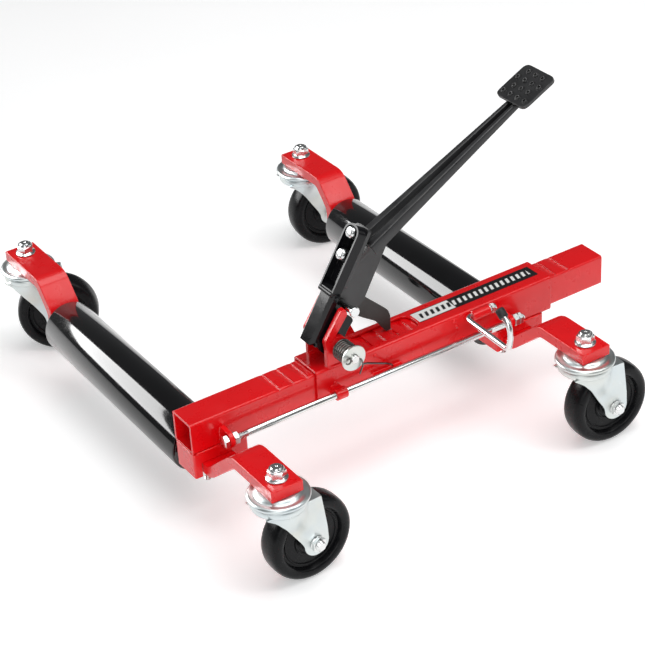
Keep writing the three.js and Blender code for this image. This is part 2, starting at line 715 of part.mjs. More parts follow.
function releaseHandle() {
  const { y, z } = GRIP_AXIS;
  const { corner, elbow, rise, bow, top } = handlePoints();
  const bend = 8;
  const towards = (from, to, reach) => to.clone().sub(from).setLength(reach).add(from);
  const start = new THREE.Vector3(392, y, z);
  const path = new THREE.CurvePath();
  path.add(new THREE.LineCurve3(start, towards(corner, start, bend)));
  path.add(new THREE.QuadraticBezierCurve3(
    towards(corner, start, bend), corner, towards(corner, elbow, bend)));
  path.add(new THREE.LineCurve3(towards(corner, elbow, bend), towards(elbow, corner, bend)));
  path.add(new THREE.QuadraticBezierCurve3(towards(elbow, corner, bend), elbow, rise));
  const neck = bow.clone().lerp(top, 0.6);
  path.add(new THREE.QuadraticBezierCurve3(rise, bow, neck));
  path.add(new THREE.LineCurve3(neck, top));
  const rod = wireAlong(path, HANDLE.radius, 26, 8);
  const nut = cylinderAlong('x', 6.5, 386, 392, y, z, 12);
  return piece('release_handle', join(rod, nut), ZINC);
}

// The cap covers the rod's tip and stands along its last stretch.
function handleCap() {
  const { bow, top } = handlePoints();
  const { radius, cap, capLength } = HANDLE;
  const sleeve = cylinderAlong('z', cap, -capLength + 3, 3, 0, 0, 16);
  const bore = cylinderAlong('z', radius + GAP, -capLength, GAP, 0, 0, 16);
  const lean = Math.atan2(top.y - bow.y, top.z - bow.z);
  return piece('handle_cap', cut(sleeve, bore).rotateX(-lean).translate(top.x, top.y, top.z), RUBBER);
}

// ---------------------------------------------------------------- the dolly
function crossbar() {
  const half = { left: TUBE.side / 2, right: SLEEVE_SIDE / 2 };
  const sleeve = outerSleeve();
  sleeve.geometry = welded(join(sleeve.geometry, springTab().translate(0, GAP, 0)));
  return groupOf(
    innerTube(),
    sleeve,
    bracket('left_bracket', 0, half.left, TUBE_BOTTOM, ARM_X.left),
    bracket('right_bracket', ARM_X.right - ARM_X.left, half.right, SLEEVE_BOTTOM, ARM_X.right),
    rodPlate('rod_lug_left', 34, 39.5, -half.left, 10),
    rodPlate('rod_lug_right', 407, 412, -half.right, 8),
    rodGuide(),
    stopRod(),
    rodNut('rod_nut_left', 39.8, 45.8),
    rodNut('rod_nut_right', 412.3, 418.8),
    rodNut('rod_lock_nut', 419.1, 423.6),
  );
}

function arm(side, x, half) {
  return groupOf(
    frontBar(`front_bar_${side}`, x),
    rearBar(`rear_bar_${side}`, x),
    roller(`roller_${side}`, x),
    rollerAxle(`roller_axle_${side}`, x, half),
    axleNut(`axle_nut_${side}`, x),
    ...BOLT_PLACES.map(([dx, y], i) => bracketBolt(`bracket_bolt_${side}_${i + 1}`, x + dx, y)),
  );
}

function footLever() {
  return groupOf(
    ears(),
    inLeverFrame(leverChannel()),
    ...CLAMP_PLACES.map((along, i) => inLeverFrame(clampBolt(`clamp_bolt_${i + 1}`, along))),
    pedal(),
    footPad(),
    drivePawl(),
    pawlPin(),
    pivotPin(),
    pivotWasher(),
    torsionSpring(),
  );
}

const dolly = groupOf(
  crossbar(),
  arm('left', ARM_X.left, TUBE.side / 2),
  arm('right', ARM_X.right, SLEEVE_SIDE / 2),
  ...CASTERS.map(caster),
  footLever(),
  groupOf(releaseBoss(), releaseHandle(), handleCap()),
);

const box = new THREE.Box3().setFromObject(dolly, true);
const centre = box.getCenter(new THREE.Vector3());
dolly.position.set(-centre.x, -centre.y, -box.min.z);
dolly.updateMatrixWorld(true);

export default dolly;
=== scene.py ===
import math
import random

import bmesh
import bpy
from mathutils import Matrix, Vector


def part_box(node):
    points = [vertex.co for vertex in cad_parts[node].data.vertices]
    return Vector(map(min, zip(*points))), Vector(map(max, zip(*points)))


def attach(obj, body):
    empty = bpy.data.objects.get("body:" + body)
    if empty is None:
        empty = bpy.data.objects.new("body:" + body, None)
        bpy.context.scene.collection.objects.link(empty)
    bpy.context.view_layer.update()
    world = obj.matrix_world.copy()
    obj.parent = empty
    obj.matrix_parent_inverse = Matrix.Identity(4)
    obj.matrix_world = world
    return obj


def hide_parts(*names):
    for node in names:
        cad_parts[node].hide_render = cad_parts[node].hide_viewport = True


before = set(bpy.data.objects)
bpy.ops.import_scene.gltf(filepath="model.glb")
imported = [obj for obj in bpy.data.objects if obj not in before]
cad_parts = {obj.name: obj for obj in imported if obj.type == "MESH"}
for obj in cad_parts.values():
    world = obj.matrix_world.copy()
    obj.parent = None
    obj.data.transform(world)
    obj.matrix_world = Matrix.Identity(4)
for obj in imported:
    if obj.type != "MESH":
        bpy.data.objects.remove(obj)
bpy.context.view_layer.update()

# ---------------------------------------------------------------- driving sizes
# Everything is drawn in millimetres on a bench frame: x from the crossbar's left end,
# y from its centre line, z from the floor. BENCH carries it to the model's frame, in metres.
tube_low, tube_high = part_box("inner_tube")
BENCH = Matrix.Translation((tube_low.x, (tube_low.y + tube_high.y) / 2, 0)) @ Matrix.Scale(0.001, 4)

TUBE = {"length": 557, "side": 38, "wall": 3, "top": 142}
TUBE_FACE = -TUBE["side"] / 2
SLEEVE = {"left": 155.5, "right": 478.5, "side": 45, "wall": 3, "top": 145.5}
SLEEVE_FACE = -SLEEVE["side"] / 2
WINDOW = {"left": 224, "right": 301, "half": 15}
RACK = {"first": 102.8, "pitch": 18, "count": 23, "length": 9, "depth": 2}
BRACKET = {"length": 66.5, "bottom": 73, "wall": 4, "room_top": 90.3, "notch": 20}
ARM_X = {"left": 29, "right": 429}
BAR = {"half": 19, "thick": 13, "top": 135.5}
FRONT_Y = -142
REAR_Y = 431
AXLE_Z = 80.5
ROLLER = {"radius": 31.75, "front": 25.5, "length": 305, "plug": 12, "wall": 3}
STOP_ROD = {"y": -35, "z": 117.5, "radius": 4, "left": 28, "right": 428, "across": 13}
GRIP = {"y": -29, "z": 141.5, "x": 352, "radius": 3.4}
PIVOT = (187, 166.5)
PAWL_PIN = (204, 208)
M8_HOLE = 4.3                          # radii of the drilled holes, by the bolt that passes
PAWL_PIN_HOLE = 4.2
PIVOT_HOLE = 5.2
M12_HOLE = 6.3
CASTER_AXLE = (29, 50)                 # the wheel's axis, from the swivel axis and the floor
FORK_WALL = {"half": 20.2, "sheet": 2.6, "crown": 29.4}
CLAMP_PLACES = (103.5, 129.5)          # the two clamp bolts, along the lever
LEVER_LENGTH = 139
PAD = {"start": 223, "length": 50, "half": 25, "thickness": 4}
SPRING = {"radius": 11, "wire": 1.2, "turns": 6, "near": -46, "far": -25}
CASTERS = {
    "front_left": (ARM_X["left"], FRONT_Y, 2),
    "front_right": (ARM_X["right"], FRONT_Y, -3),
    "rear_left": (ARM_X["left"], REAR_Y, -28),
    "rear_right": (ARM_X["right"], REAR_Y, -7),
}
LEVER_LEAN = 32
ARM_RISE = 26.5
LEVER_FRAME = Matrix.Translation((155, 0, 176)) @ Matrix.Rotation(math.radians(LEVER_LEAN), 4, "Y")
ARM_FRAME = Matrix.Translation((238, 0, 270)) @ Matrix.Rotation(math.radians(-ARM_RISE), 4, "Y")


# ---------------------------------------------------------------- mesh building
def closed(verts, faces):
    mesh = bpy.data.meshes.new("shape")
    mesh.from_pydata([tuple(v) for v in verts], [], faces)
    bm = bmesh.new()
    bm.from_mesh(mesh)
    bmesh.ops.remove_doubles(bm, verts=bm.verts, dist=1e-4)
    bmesh.ops.recalc_face_normals(bm, faces=bm.faces)
    bm.to_mesh(mesh)
    bm.free()
    return mesh


def soft(points, steps=6):
    """A polygon with its corners rounded: each point is (a, b) or (a, b, reach)."""
    out = []
    count = len(points)
    for i, point in enumerate(points):
        corner = Vector(point[:2])
        before = Vector(points[i - 1][:2]) - corner
        after = Vector(points[(i + 1) % count][:2]) - corner
        reach = point[2] if len(point) > 2 else 0
        reach = min(reach, before.length * 0.49, after.length * 0.49)
        if reach <= 0:
            out.append(corner)
            continue
        start = corner + before.normalized() * reach
        end = corner + after.normalized() * reach
        for k in range(steps + 1):
            t = k / steps
            out.append(start.lerp(corner, t).lerp(corner.lerp(end, t), t))
    return out


def spread(plane, a, b, depth):
    """A point of a flat outline, put at a depth across its plane."""
    if plane == "xz":
        return (a, depth, b)
    if plane == "yz":
        return (depth, a, b)
    return (a, b, depth)


def prism(outline, low, high, plane="xz"):
    count = len(outline)
    verts = [spread(plane, p[0], p[1], d) for d in (low, high) for p in outline]
    faces = [list(range(count)), list(range(2 * count - 1, count - 1, -1))]
    for i in range(count):
        j = (i + 1) % count
        faces.append([i, j, count + j, count + i])
    return closed(verts, faces)


def block(x0, x1, y0, y1, z0, z1, round_by, plane="xy"):
    """A box whose four edges across the plane are rounded."""
    if plane == "xy":
        outline = [(x0, y0, round_by), (x1, y0, round_by), (x1, y1, round_by), (x0, y1, round_by)]
        return prism(soft(outline), z0, z1, "xy")
    if plane == "xz":
        outline = [(x0, z0, round_by), (x1, z0, round_by), (x1, z1, round_by), (x0, z1, round_by)]
        return prism(soft(outline), y0, y1, "xz")
    outline = [(y0, z0, round_by), (y1, z0, round_by), (y1, z1, round_by), (y0, z1, round_by)]
    return prism(soft(outline), x0, x1, "yz")


def turn_point(axis, radius, angle, height, centre):
    a, b = radius * math.cos(angle), radius * math.sin(angle)
    if axis == "x":
        return (height, centre[0] + a, centre[1] + b)
    if axis == "y":
        return (centre[0] + a, height, centre[1] + b)
    return (centre[0] + a, centre[1] + b, height)


def lathe(profile, axis="z", centre=(0, 0), sides=64, loop=False):
    """A profile of (radius, height); it starts and ends on the axis, or loop closes it on itself."""
    rings, verts = [], []
    for radius, height in profile:
        if radius < 1e-6:
            rings.append([len(verts)] * sides)
            verts.append(turn_point(axis, 0, 0, height, centre))
            continue
        rings.append(list(range(len(verts), len(verts) + sides)))
        verts += [turn_point(axis, radius, 2 * math.pi * i / sides, height, centre) for i in range(sides)]
    if loop:
        rings.append(rings[0])
    faces = []
    for low, high in zip(rings, rings[1:]):
        for i in range(sides):
            j = (i + 1) % sides
            face = [low[i], low[j], high[j], high[i]]
            face = [v for k, v in enumerate(face) if v != face[k - 1]]
            if len(face) > 2:
                faces.append(face)
    return closed(verts, faces)


def rod(axis, radius, start, end, centre, chamfer):
    profile = [(0, start), (radius - chamfer, start), (radius, start + chamfer),
               (radius, end - chamfer), (radius - chamfer, end), (0, end)]
    return lathe(profile, axis, centre, 40)


def drill(axis, radius, start, end, centre, sides=40):
    """A plain cylinder to cut a hole with."""
    return lathe([(0, start), (radius, start), (radius, end), (0, end)], axis, centre, sides)


def thread(radius, start, end, pitch=1.25):
    """Profile points of a threaded stretch, from start to end."""
    depth = pitch * 0.5
    count = max(1, int(abs(end - start) / pitch))
    step = (end - start) / count
    points = [(radius - depth, start)]
    for i in range(count):
        points.append((radius, start + step * (i + 0.5)))
        points.append((radius - depth, start + step * (i + 1)))
    return points


def hexagon(axis, across, start, end, centre, chamfer, bore=0):
    """A nut or bolt head with chamfered corners."""
    corner = across / math.sqrt(3)
    outline = [turn_point(axis, corner, math.pi * i / 3 + math.pi / 6, 0, centre) for i in range(6)]
    plane = {"x": "yz", "y": "xz", "z": "xy"}[axis]
    pick = {"x": (1, 2), "y": (0, 2), "z": (0, 1)}[axis]
    body = prism([(p[pick[0]], p[pick[1]]) for p in outline], start, end, plane)
    rim = across * 0.47
    cone = [(0, start - 0.01), (rim, start - 0.01), (corner + 0.2, start + chamfer),
            (corner + 0.2, end - chamfer), (rim, end + 0.01), (0, end + 0.01)]
    body = boolean(body, lathe(cone, axis, centre, 48), "INTERSECT")
    if bore:
        body = cut(body, drill(axis, bore, start - 1, end + 1, centre))
    return body


def sweep(points, radius, sides, wobble=None):
    """A round bar through the points. wobble(i) scales its radius at point i."""
    points = [Vector(p) for p in points]
    tangent = (points[1] - points[0]).normalized()
    side = tangent.cross(Vector((0.31, 0.27, 0.91))).normalized()
    verts, faces = [], []
    for i, point in enumerate(points):
        ahead = points[min(i + 1, len(points) - 1)] - points[max(i - 1, 0)]
        tangent = ahead.normalized()
        side = (side - tangent * side.dot(tangent)).normalized()
        up = tangent.cross(side)
        r = radius * (wobble(i) if wobble else 1)
        for k in range(sides):
            a = 2 * math.pi * k / sides
            verts.append(point + side * (r * math.cos(a)) + up * (r * math.sin(a)))
    for i in range(len(points) - 1):
        for k in range(sides):
            j = (k + 1) % sides
            faces.append([i * sides + k, i * sides + j, (i + 1) * sides + j, (i + 1) * sides + k])
    last = (len(points) - 1) * sides
    faces.append(list(range(sides - 1, -1, -1)))
    faces.append(list(range(last, last + sides)))
    return closed(verts, faces)


def loft(rings):
    """A solid skin over rings of equally many points."""
    around = len(rings[0])
    verts = [v for ring in rings for v in ring]
    faces = [list(range(around - 1, -1, -1))]
    faces.append(list(range((len(rings) - 1) * around, len(rings) * around)))
    for r in range(len(rings) - 1):
        for i in range(around):
            j = (i + 1) % around
            faces.append([r * around + i, r * around + j, (r + 1) * around + j, (r + 1) * around + i])
    return closed(verts, faces)


def band(path, thickness, bend):
    """The outline of a flat bar of even thickness that follows a path with rounded bends."""
    line = soft_line(path, bend, 10)
    left, right = [], []
    for i, point in enumerate(line):
        ahead = line[min(i + 1, len(line) - 1)] - point
        behind = point - line[max(i - 1, 0)]
        along = (ahead.normalized() + behind.normalized()).normalized()
        cosine = abs(along.dot((behind if behind.length > 0 else ahead).normalized()))
        across = Vector((-along.y, along.x)) * (thickness / 2 / max(cosine, 0.5))
        left.append(point + across)
        right.append(point - across)
    return left + right[::-1]


def soft_line(path, bend, steps):
    """A path with its corners rounded, each over bend millimetres either way."""
    line = [Vector(path[0])]
    for before, corner, after in zip(path, path[1:], path[2:]):
        size = len(corner)
        corner = Vector(corner)
        start = corner + (Vector(before[:size]) - corner).normalized() * bend
        end = corner + (Vector(after[:size]) - corner).normalized() * bend
        for k in range(steps + 1):
            t = k / steps
            line.append(start.lerp(corner, t).lerp(corner.lerp(end, t), t))
    line.append(Vector(path[-1]))
    return line


def boolean(first, second, operation):
    a = bpy.data.objects.new("a", first)
    b = bpy.data.objects.new("b", second)
    for o in (a, b):
        bpy.context.scene.collection.objects.link(o)
    modifier = a.modifiers.new("cut", "BOOLEAN")
    modifier.operation = operation
    modifier.object = b
    modifier.solver = "EXACT"
    shaped = a.evaluated_get(bpy.context.evaluated_depsgraph_get())
    mesh = bpy.data.meshes.new_from_object(shaped)
    for o in (a, b):
        bpy.data.objects.remove(o)
    return mesh


def join(first, *others):
    for other in others:
        first = boolean(first, other, "UNION")
    return first


def cut(first, *tools):
    for tool in tools:
        first = boolean(first, tool, "DIFFERENCE")
    return first


def together(meshes):
    """Separate bodies kept in one mesh."""
    bm = bmesh.new()
    for mesh in meshes:
        bm.from_mesh(mesh)
    out = bpy.data.meshes.new("together")
    bm.to_mesh(out)
    bm.free()
    return out


def moved(mesh, matrix):
    copy = mesh.copy()
    copy.transform(matrix)
    return copy


def piece(name, mesh, body, look, node=None, bevel=0.5, segments=3, angle=32):
    """A finished piece: drawn on the bench, smooth, with its edges broken by bevel millimetres."""
    mesh = mesh.copy()
    mesh.transform(BENCH)
    mesh.name = name
    bm = bmesh.new()
    bm.from_mesh(mesh)
    bmesh.ops.dissolve_degenerate(bm, edges=bm.edges, dist=2e-6)
    bm.to_mesh(mesh)
    bm.free()
    for polygon in mesh.polygons:
        polygon.use_smooth = True
    mesh.materials.clear()
    mesh.materials.append(LOOKS[look])
    shown = bpy.data.objects.new(name, mesh)
    bpy.context.scene.collection.objects.link(shown)
    if bevel:
        edge = shown.modifiers.new("edges", "BEVEL")
        edge.width = bevel / 1000
        edge.segments = segments
        edge.limit_method = "ANGLE"
        edge.angle_limit = math.radians(angle)
        edge.harden_normals = True
        edge.use_clamp_overlap = True
    else:
        mesh.set_sharp_from_angle(angle=math.radians(angle))
    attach(shown, body)
    if node:
        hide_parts(node)
    return shown


# ---------------------------------------------------------------- materials
class Nodes:
    """A small helper that builds one Principled material from noise and mixes."""

    def __init__(self, name):
        self.material = bpy.data.materials.new(name)
        self.material.use_nodes = True
        self.tree = self.material.node_tree
        self.shader = self.tree.nodes["Principled BSDF"]
        self.place = self.add("ShaderNodeTexCoord")

    def add(self, kind, **settings):
        node = self.tree.nodes.new(kind)
        for key, value in settings.items():
            setattr(node, key, value)
        return node

    def link(self, a, b):
        self.tree.links.new(a, b)

    def set(self, **values):
        for key, value in values.items():
            self.shader.inputs[key.replace("_", " ")].default_value = value

    def noise(self, scale, detail, rough=0.55):
        node = self.add("ShaderNodeTexNoise")
        node.inputs["Scale"].default_value = scale
        node.inputs["Detail"].default_value = detail
        node.inputs["Roughness"].default_value = rough
        self.link(self.place.outputs["Object"], node.inputs["Vector"])
        return node.outputs["Fac"]

    def span(self, value, low, high, from_low=0.3, from_high=0.7):
        node = self.add("ShaderNodeMapRange")
        node.inputs["From Min"].default_value = from_low
        node.inputs["From Max"].default_value = from_high
        node.inputs["To Min"].default_value = low
        node.inputs["To Max"].default_value = high
        self.link(value, node.inputs["Value"])
        return node.outputs["Result"]

    def mix(self, factor, a, b):
        node = self.add("ShaderNodeMix", data_type="RGBA")
        for value, socket in ((factor, node.inputs[0]), (a, node.inputs[6]), (b, node.inputs[7])):
            if hasattr(value, "links"):
                self.link(value, socket)
            else:
                socket.default_value = value
        return node.outputs[2]

    def bump(self, height, strength, distance, after=None):
        node = self.add("ShaderNodeBump")
        node.inputs["Strength"].default_value = strength
        node.inputs["Distance"].default_value = distance
        self.link(height, node.inputs["Height"])
        if after is not None:
            self.link(after, node.inputs["Normal"])
        return node.outputs["Normal"]

    def edge_mask(self, radius):
        """Near 1 on outer edges, 0 on flats."""
        bevel = self.add("ShaderNodeBevel", samples=4)
        bevel.inputs["Radius"].default_value = radius
        geometry = self.add("ShaderNodeNewGeometry")
        dot = self.add("ShaderNodeVectorMath", operation="DOT_PRODUCT")
        self.link(bevel.outputs["Normal"], dot.inputs[0])
        self.link(geometry.outputs["Normal"], dot.inputs[1])
        return self.span(dot.outputs["Value"], 1.0, 0.0, 0.90, 0.995)


def shade(color, factor):
    return tuple(min(1.0, c * factor) for c in color[:3]) + (1.0,)


def paint(name, color, rough, coat, peel, mottle, wear=0.0, shine=0.5, painted_shade_reach=0.0):
    """Paint with orange peel and mottled tone; wear rubs its edges, and painted shade (ambient occlusion) darkens its
    corners and dims their reflections.
    """
    n = Nodes(name)
    tone = n.span(n.noise(22, 5), 0, 1)
    base = n.mix(tone, shade(color, 1 - mottle), shade(color, 1 + mottle))
    if wear:
        rub = n.add("ShaderNodeMath", operation="MULTIPLY")
        n.link(n.edge_mask(0.0009), rub.inputs[0])
        n.link(n.span(n.noise(90, 6), 0, wear, 0.48, 0.66), rub.inputs[1])
        base = n.mix(rub.outputs[0], base, (0.33, 0.32, 0.31, 1))
    if painted_shade_reach:
        # Painted shade: ambient occlusion darkens the colour to 0.15 of itself in corners and recesses, and turns the
        # specular down there too.
        hollow = n.add("ShaderNodeAmbientOcclusion", samples=6)
        hollow.inputs["Distance"].default_value = painted_shade_reach
        open_sky = n.span(hollow.outputs["AO"], 0.1, 1, 0.55, 0.95)
        base = n.mix(open_sky, shade(color, 0.15), base)
        n.link(n.span(hollow.outputs["AO"], 0.0, shine, 0.55, 0.95), n.shader.inputs["Specular IOR Level"])
    n.link(base, n.shader.inputs["Base Color"])
    n.link(n.span(n.noise(48, 6), rough * 0.8, rough * 1.35), n.shader.inputs["Roughness"])
    n.set(Coat_Weight=coat, Coat_Roughness=0.05)
    if not painted_shade_reach:
        n.set(Specular_IOR_Level=shine)
    fine = n.bump(n.noise(520, 2), peel, 0.0006)
    broad = n.bump(n.noise(45, 2), peel * 0.8, 0.004, fine)
    n.link(broad, n.shader.inputs["Normal"])
    n.link(broad, n.shader.inputs["Coat Normal"])
    return n.material


def metal(name, color, tint, rough, grain=0.03):
    """Plated or bare metal that drifts between two tones, with duller patches."""
    n = Nodes(name)
    base = n.mix(n.span(n.noise(18, 3), 0, 1, 0.3, 0.7), color, tint)
    base = n.mix(n.span(n.noise(60, 5), 0, 0.25, 0.5, 0.8), base, shade(color, 0.8))
    n.link(base, n.shader.inputs["Base Color"])
    n.link(n.span(n.noise(40, 4), rough * 0.8, rough * 1.3), n.shader.inputs["Roughness"])
    n.set(Metallic=1.0)
    rough_skin = n.bump(n.noise(700, 3), grain, 0.0004)
    n.link(n.bump(n.noise(60, 2), grain, 0.0015, rough_skin), n.shader.inputs["Normal"])
    return n.material


def polymer(name, color, rough, grain, scale=900, shine=0.5):
    """Moulded plastic or rubber with a fine skin and pale scuffs."""
    n = Nodes(name)
    scuff = n.span(n.noise(60, 8, rough=0.7), 0, 0.5, 0.55, 0.8)
    base = n.mix(scuff, color, shade(color, 2.1))
    n.link(base, n.shader.inputs["Base Color"])
    n.link(n.span(n.noise(85, 6), rough * 0.8, rough * 1.3), n.shader.inputs["Roughness"])
    n.set(Specular_IOR_Level=shine)
    skin = n.bump(n.noise(scale, 2), grain, 0.0004)
    n.link(n.bump(n.noise(60, 4), grain * 0.6, 0.002, skin), n.shader.inputs["Normal"])
    return n.material


def label_look():
    """A white field and a black field, each with a row of plain slanted bars."""
    n = Nodes("label")
    black, white = (0.008, 0.008, 0.009, 1), (0.86, 0.86, 0.84, 1)
    split = n.add("ShaderNodeSeparateXYZ")
    n.link(n.place.outputs["Generated"], split.inputs["Vector"])
    along, across = split.outputs["X"], split.outputs["Y"]

    def rule(operation, *values):
        node = n.add("ShaderNodeMath", operation=operation)
        for i, value in enumerate(values):
            if hasattr(value, "links"):
                n.link(value, node.inputs[i])
            else:
                node.inputs[i].default_value = value
        return node.outputs[0]

    left = n.span(along, 1, 0, 0.30, 0.302)
    slant = rule("ADD", rule("MULTIPLY", along, 22), rule("MULTIPLY", across, -0.8))
    bars = rule("GREATER_THAN", rule("FRACT", slant), 0.5)
    middle = rule("LESS_THAN", rule("ABSOLUTE", rule("SUBTRACT", across, 0.5)), 0.22)
    inside = rule("LESS_THAN", rule("ABSOLUTE", rule("SUBTRACT", along, 0.5)), 0.46)
    marks = rule("MULTIPLY", bars, rule("MULTIPLY", middle, inside))
    field = n.mix(left, black, white)
    ink = n.mix(marks, field, n.mix(left, white, black))
    edge = rule("MINIMUM", across, n.span(across, 1, 0, 0, 1))
    ink = n.mix(n.span(edge, 1, 0, 0.05, 0.055), ink, black)
    n.link(ink, n.shader.inputs["Base Color"])
    n.link(n.span(n.noise(60, 4), 0.25, 0.4), n.shader.inputs["Roughness"])
    return n.material


LOOKS = {
    "red": paint("red_powder_coat", (0.78, 0.002, 0.005), 0.28, 0.3, peel=0.02, mottle=0.04, shine=0.4),
    "roller": paint("roller_black", (0.0035, 0.0035, 0.004), 0.10, 0.5, peel=0.008, mottle=0.2, shine=0.4),
    "gloss": paint("gloss_black", (0.004, 0.004, 0.005), 0.12, 0.2, peel=0.02, mottle=0.2, wear=0.2, shine=0.15),
    # satin_black carries painted shade: ambient occlusion within 7 mm darkens its corners and recesses.
    "satin": paint("satin_black", (0.020, 0.020, 0.021), 0.34, 0.2, peel=0.07, mottle=0.2, wear=0.4, painted_shade_reach=0.007),
    "plate": paint("satin_plate", (0.030, 0.029, 0.027), 0.42, 0.0, peel=0.06, mottle=0.15, wear=0.3, shine=0.4),
    "zinc": metal("zinc_plate", (0.60, 0.665, 0.69, 1), (0.66, 0.67, 0.62, 1), 0.34),
    "zinc_bright": metal("zinc_bright", (0.74, 0.76, 0.77, 1), (0.70, 0.70, 0.68, 1), 0.22, grain=0.01),
    "spring": metal("spring_steel", (0.11, 0.11, 0.11, 1), (0.15, 0.14, 0.13, 1), 0.20),
    "wheel": polymer("wheel_polymer", (0.005, 0.0052, 0.006, 1), 0.26, 0.03, 1400, shine=0.15),
    "rubber": polymer("black_rubber", (0.008, 0.008, 0.008, 1), 0.50, 0.2),
    "label": label_look(),
}


# ---------------------------------------------------------------- welds
def weld(name, points, body, radius):
    """A painted weld bead laid along a line of points."""
    random.seed(len(name) * 7 + int(points[0][0]))
    path = []
    for a, b in zip(points, points[1:]):
        a, b = Vector(a), Vector(b)
        count = max(2, int((b - a).length / 0.9))
        path += [a.lerp(b, i / count) for i in range(count)]
    path.append(Vector(points[-1]))
    last = len(path) - 1
    ripple = [random.uniform(0.9, 1.12) for _ in path]

    def swell(i):
        end = min(1.0, 0.35 + 0.3 * min(i, last - i))
        return end * ripple[i] * (1 + 0.10 * math.sin(i * 1.9))

    return piece(name, sweep(path, radius, 12, swell), body, "red", bevel=0, angle=80)


# ---------------------------------------------------------------- crossbar
def square_tube(left, right, side, wall, top, corner):
    """A square tube along x, rounded by corner outside."""
    half = side / 2

    def loop(inset, reach):
        low, high = -half + inset, half - inset
        base, roof = top - side + inset, top - inset
        return soft([(low, base, reach), (high, base, reach), (high, roof, reach), (low, roof, reach)], 5)

    outside, inside = loop(0, corner), loop(wall, max(corner - wall, 0.9))
    count = len(outside)
    verts = [(x, p[0], p[1]) for x in (left, right) for line in (outside, inside) for p in line]
    faces = []
    for i in range(count):
        j = (i + 1) % count
        faces.append([i, j, 2 * count + j, 2 * count + i])
        faces.append([count + i, count + j, 3 * count + j, 3 * count + i])
        faces.append([i, j, count + j, count + i])
        faces.append([2 * count + i, 2 * count + j, 3 * count + j, 3 * count + i])
    return closed(verts, faces)


def crossbar():
    tube = square_tube(0, TUBE["length"], TUBE["side"], TUBE["wall"], TUBE["top"], 3.4)
    teeth = []
    top, above = TUBE["top"], TUBE["top"] + 1.5
    for i in range(RACK["count"]):
        x = RACK["first"] + RACK["pitch"] * i
        wall = x + RACK["length"]
        tooth = [(x, top), (wall, top - RACK["depth"], 0.8), (wall, top), (wall + 0.8, top + 0.6),
                 (wall + 0.8, above), (x, above)]
        teeth.append(prism(soft(tooth, 3), -20, 20))
    piece("crossbar_inner_tube", cut(tube, together(teeth)), "sliding_frame", "red", "inner_tube", 0.45)

    sleeve = square_tube(SLEEVE["left"], SLEEVE["right"], SLEEVE["side"], SLEEVE["wall"], SLEEVE["top"], 4)
    left, right, half = WINDOW["left"], WINDOW["right"], WINDOW["half"]
    slot = soft([(left, -half, 3), (right, -half, 14), (right, half, 14), (left, half, 3)], 10)
    window = prism(slot, 141.4, 147, "xy")
    tab = soft([(226, 116), (236, 110, 2), (266, 110, 2), (266, 116)])
    sleeve = join(cut(sleeve, window), prism(tab, SLEEVE_FACE - 7, SLEEVE_FACE + 1))
    piece("crossbar_outer_sleeve", sleeve, "sleeve_frame", "red", "outer_sleeve", 0.8)


def bracket(name, node, left, half, roof, arm_x, body):
    """A box under the crossbar, open below, notched for the front bar and drilled for the axle."""
    right, wall, reach = left + BRACKET["length"], BRACKET["wall"], BRACKET["notch"]
    under, room_top = BRACKET["bottom"] - 3, BRACKET["room_top"]
    shell = block(left, right, -half, half, BRACKET["bottom"], roof - 0.3, 2.5)
    room = block(left + wall, right - wall, wall - half, half - wall, under, room_top, 1)
    notch = block(arm_x - reach, arm_x + reach, -half - 2, wall + 1 - half, under, room_top, 1.5, "xz")
    axle = drill("y", M12_HOLE, 0, half + 2, (arm_x, AXLE_Z))
    piece(name, cut(shell, room, notch, axle), body, "red", node, 0.9)


def rod_lug(name, node, x0, x1, face, half, body):
    """A rounded plate that holds the stop rod off a face of the crossbar."""
    y, z = STOP_ROD["y"], STOP_ROD["z"]
    rim = half - 1
    outline = soft([(face, z - half), (face, z + half), (y - 4, z + rim, 6), (y - rim, z, 6),
                    (y - 4, z - rim, 6)], 8)
    hole = drill("x", M8_HOLE, x0 - 1, x1 + 1, (y, z))
    piece(name, cut(prism(outline, x0, x1, "yz"), hole), body, "red", node, 0.6)
    for side in (x0, x1):
        weld(f"weld_{name}_{int(side)}", [(side, face - 0.3, z - rim), (side, face - 0.3, z + rim)], body, 1.4)


def stop_rod():
    y, z, radius, across = STOP_ROD["y"], STOP_ROD["z"], STOP_ROD["radius"], STOP_ROD["across"]
    left, right = STOP_ROD["left"], STOP_ROD["right"]
    head = hexagon("x", across, left, left + 5.5, (y, z), 0.9)
    profile = [(0, left + 4), (radius - 0.1, left + 4)] + thread(radius, left + 5.7, 58)
    profile += [(radius, 59), (radius, 380)] + thread(radius, 381, right - 1)
    profile += [(radius - 1, right), (0, right)]
    piece("stop_rod_shaft", join(lathe(profile, "x", (y, z), 32), head), "sliding_frame", "zinc_bright",
          "stop_rod", 0)
    for name, node, x0, x1 in (("rod_nut_a", "rod_nut_left", 39.8, 45.8),
                               ("rod_nut_b", "rod_nut_right", 412.3, 418.8),
                               ("rod_nut_c", "rod_lock_nut", 419.1, 423.6)):
        piece(name, hexagon("x", across, x0, x1, (y, z), 0.9, radius + 0.15), "sliding_frame", "zinc", node, 0.25)
    rod_lug("rod_lug_a", "rod_lug_left", 34, 39.5, TUBE_FACE, 10, "sliding_frame")
    rod_lug("rod_lug_b", "rod_lug_right", 407, 412, SLEEVE_FACE, 8, "sleeve_frame")


def rod_guide():
    y, z = STOP_ROD["y"], STOP_ROD["z"]
    bush = rod("x", 6.5, 170, 184, (y, z), 0.8)
    foot = block(171, 183, y, SLEEVE_FACE + 0.5, z - 4, z + 4, 1, "xz")
    hole = drill("x", M8_HOLE, 168, 186, (y, z))
    piece("rod_guide_bush", cut(join(bush, foot), hole), "sleeve_frame", "red", "rod_guide", 0.5)
    for height in (z - 4, z + 4):
        weld(f"weld_guide_{int(height)}",
             [(172, SLEEVE_FACE - 0.4, height), (182, SLEEVE_FACE - 0.4, height)], "sleeve_frame", 1.4)


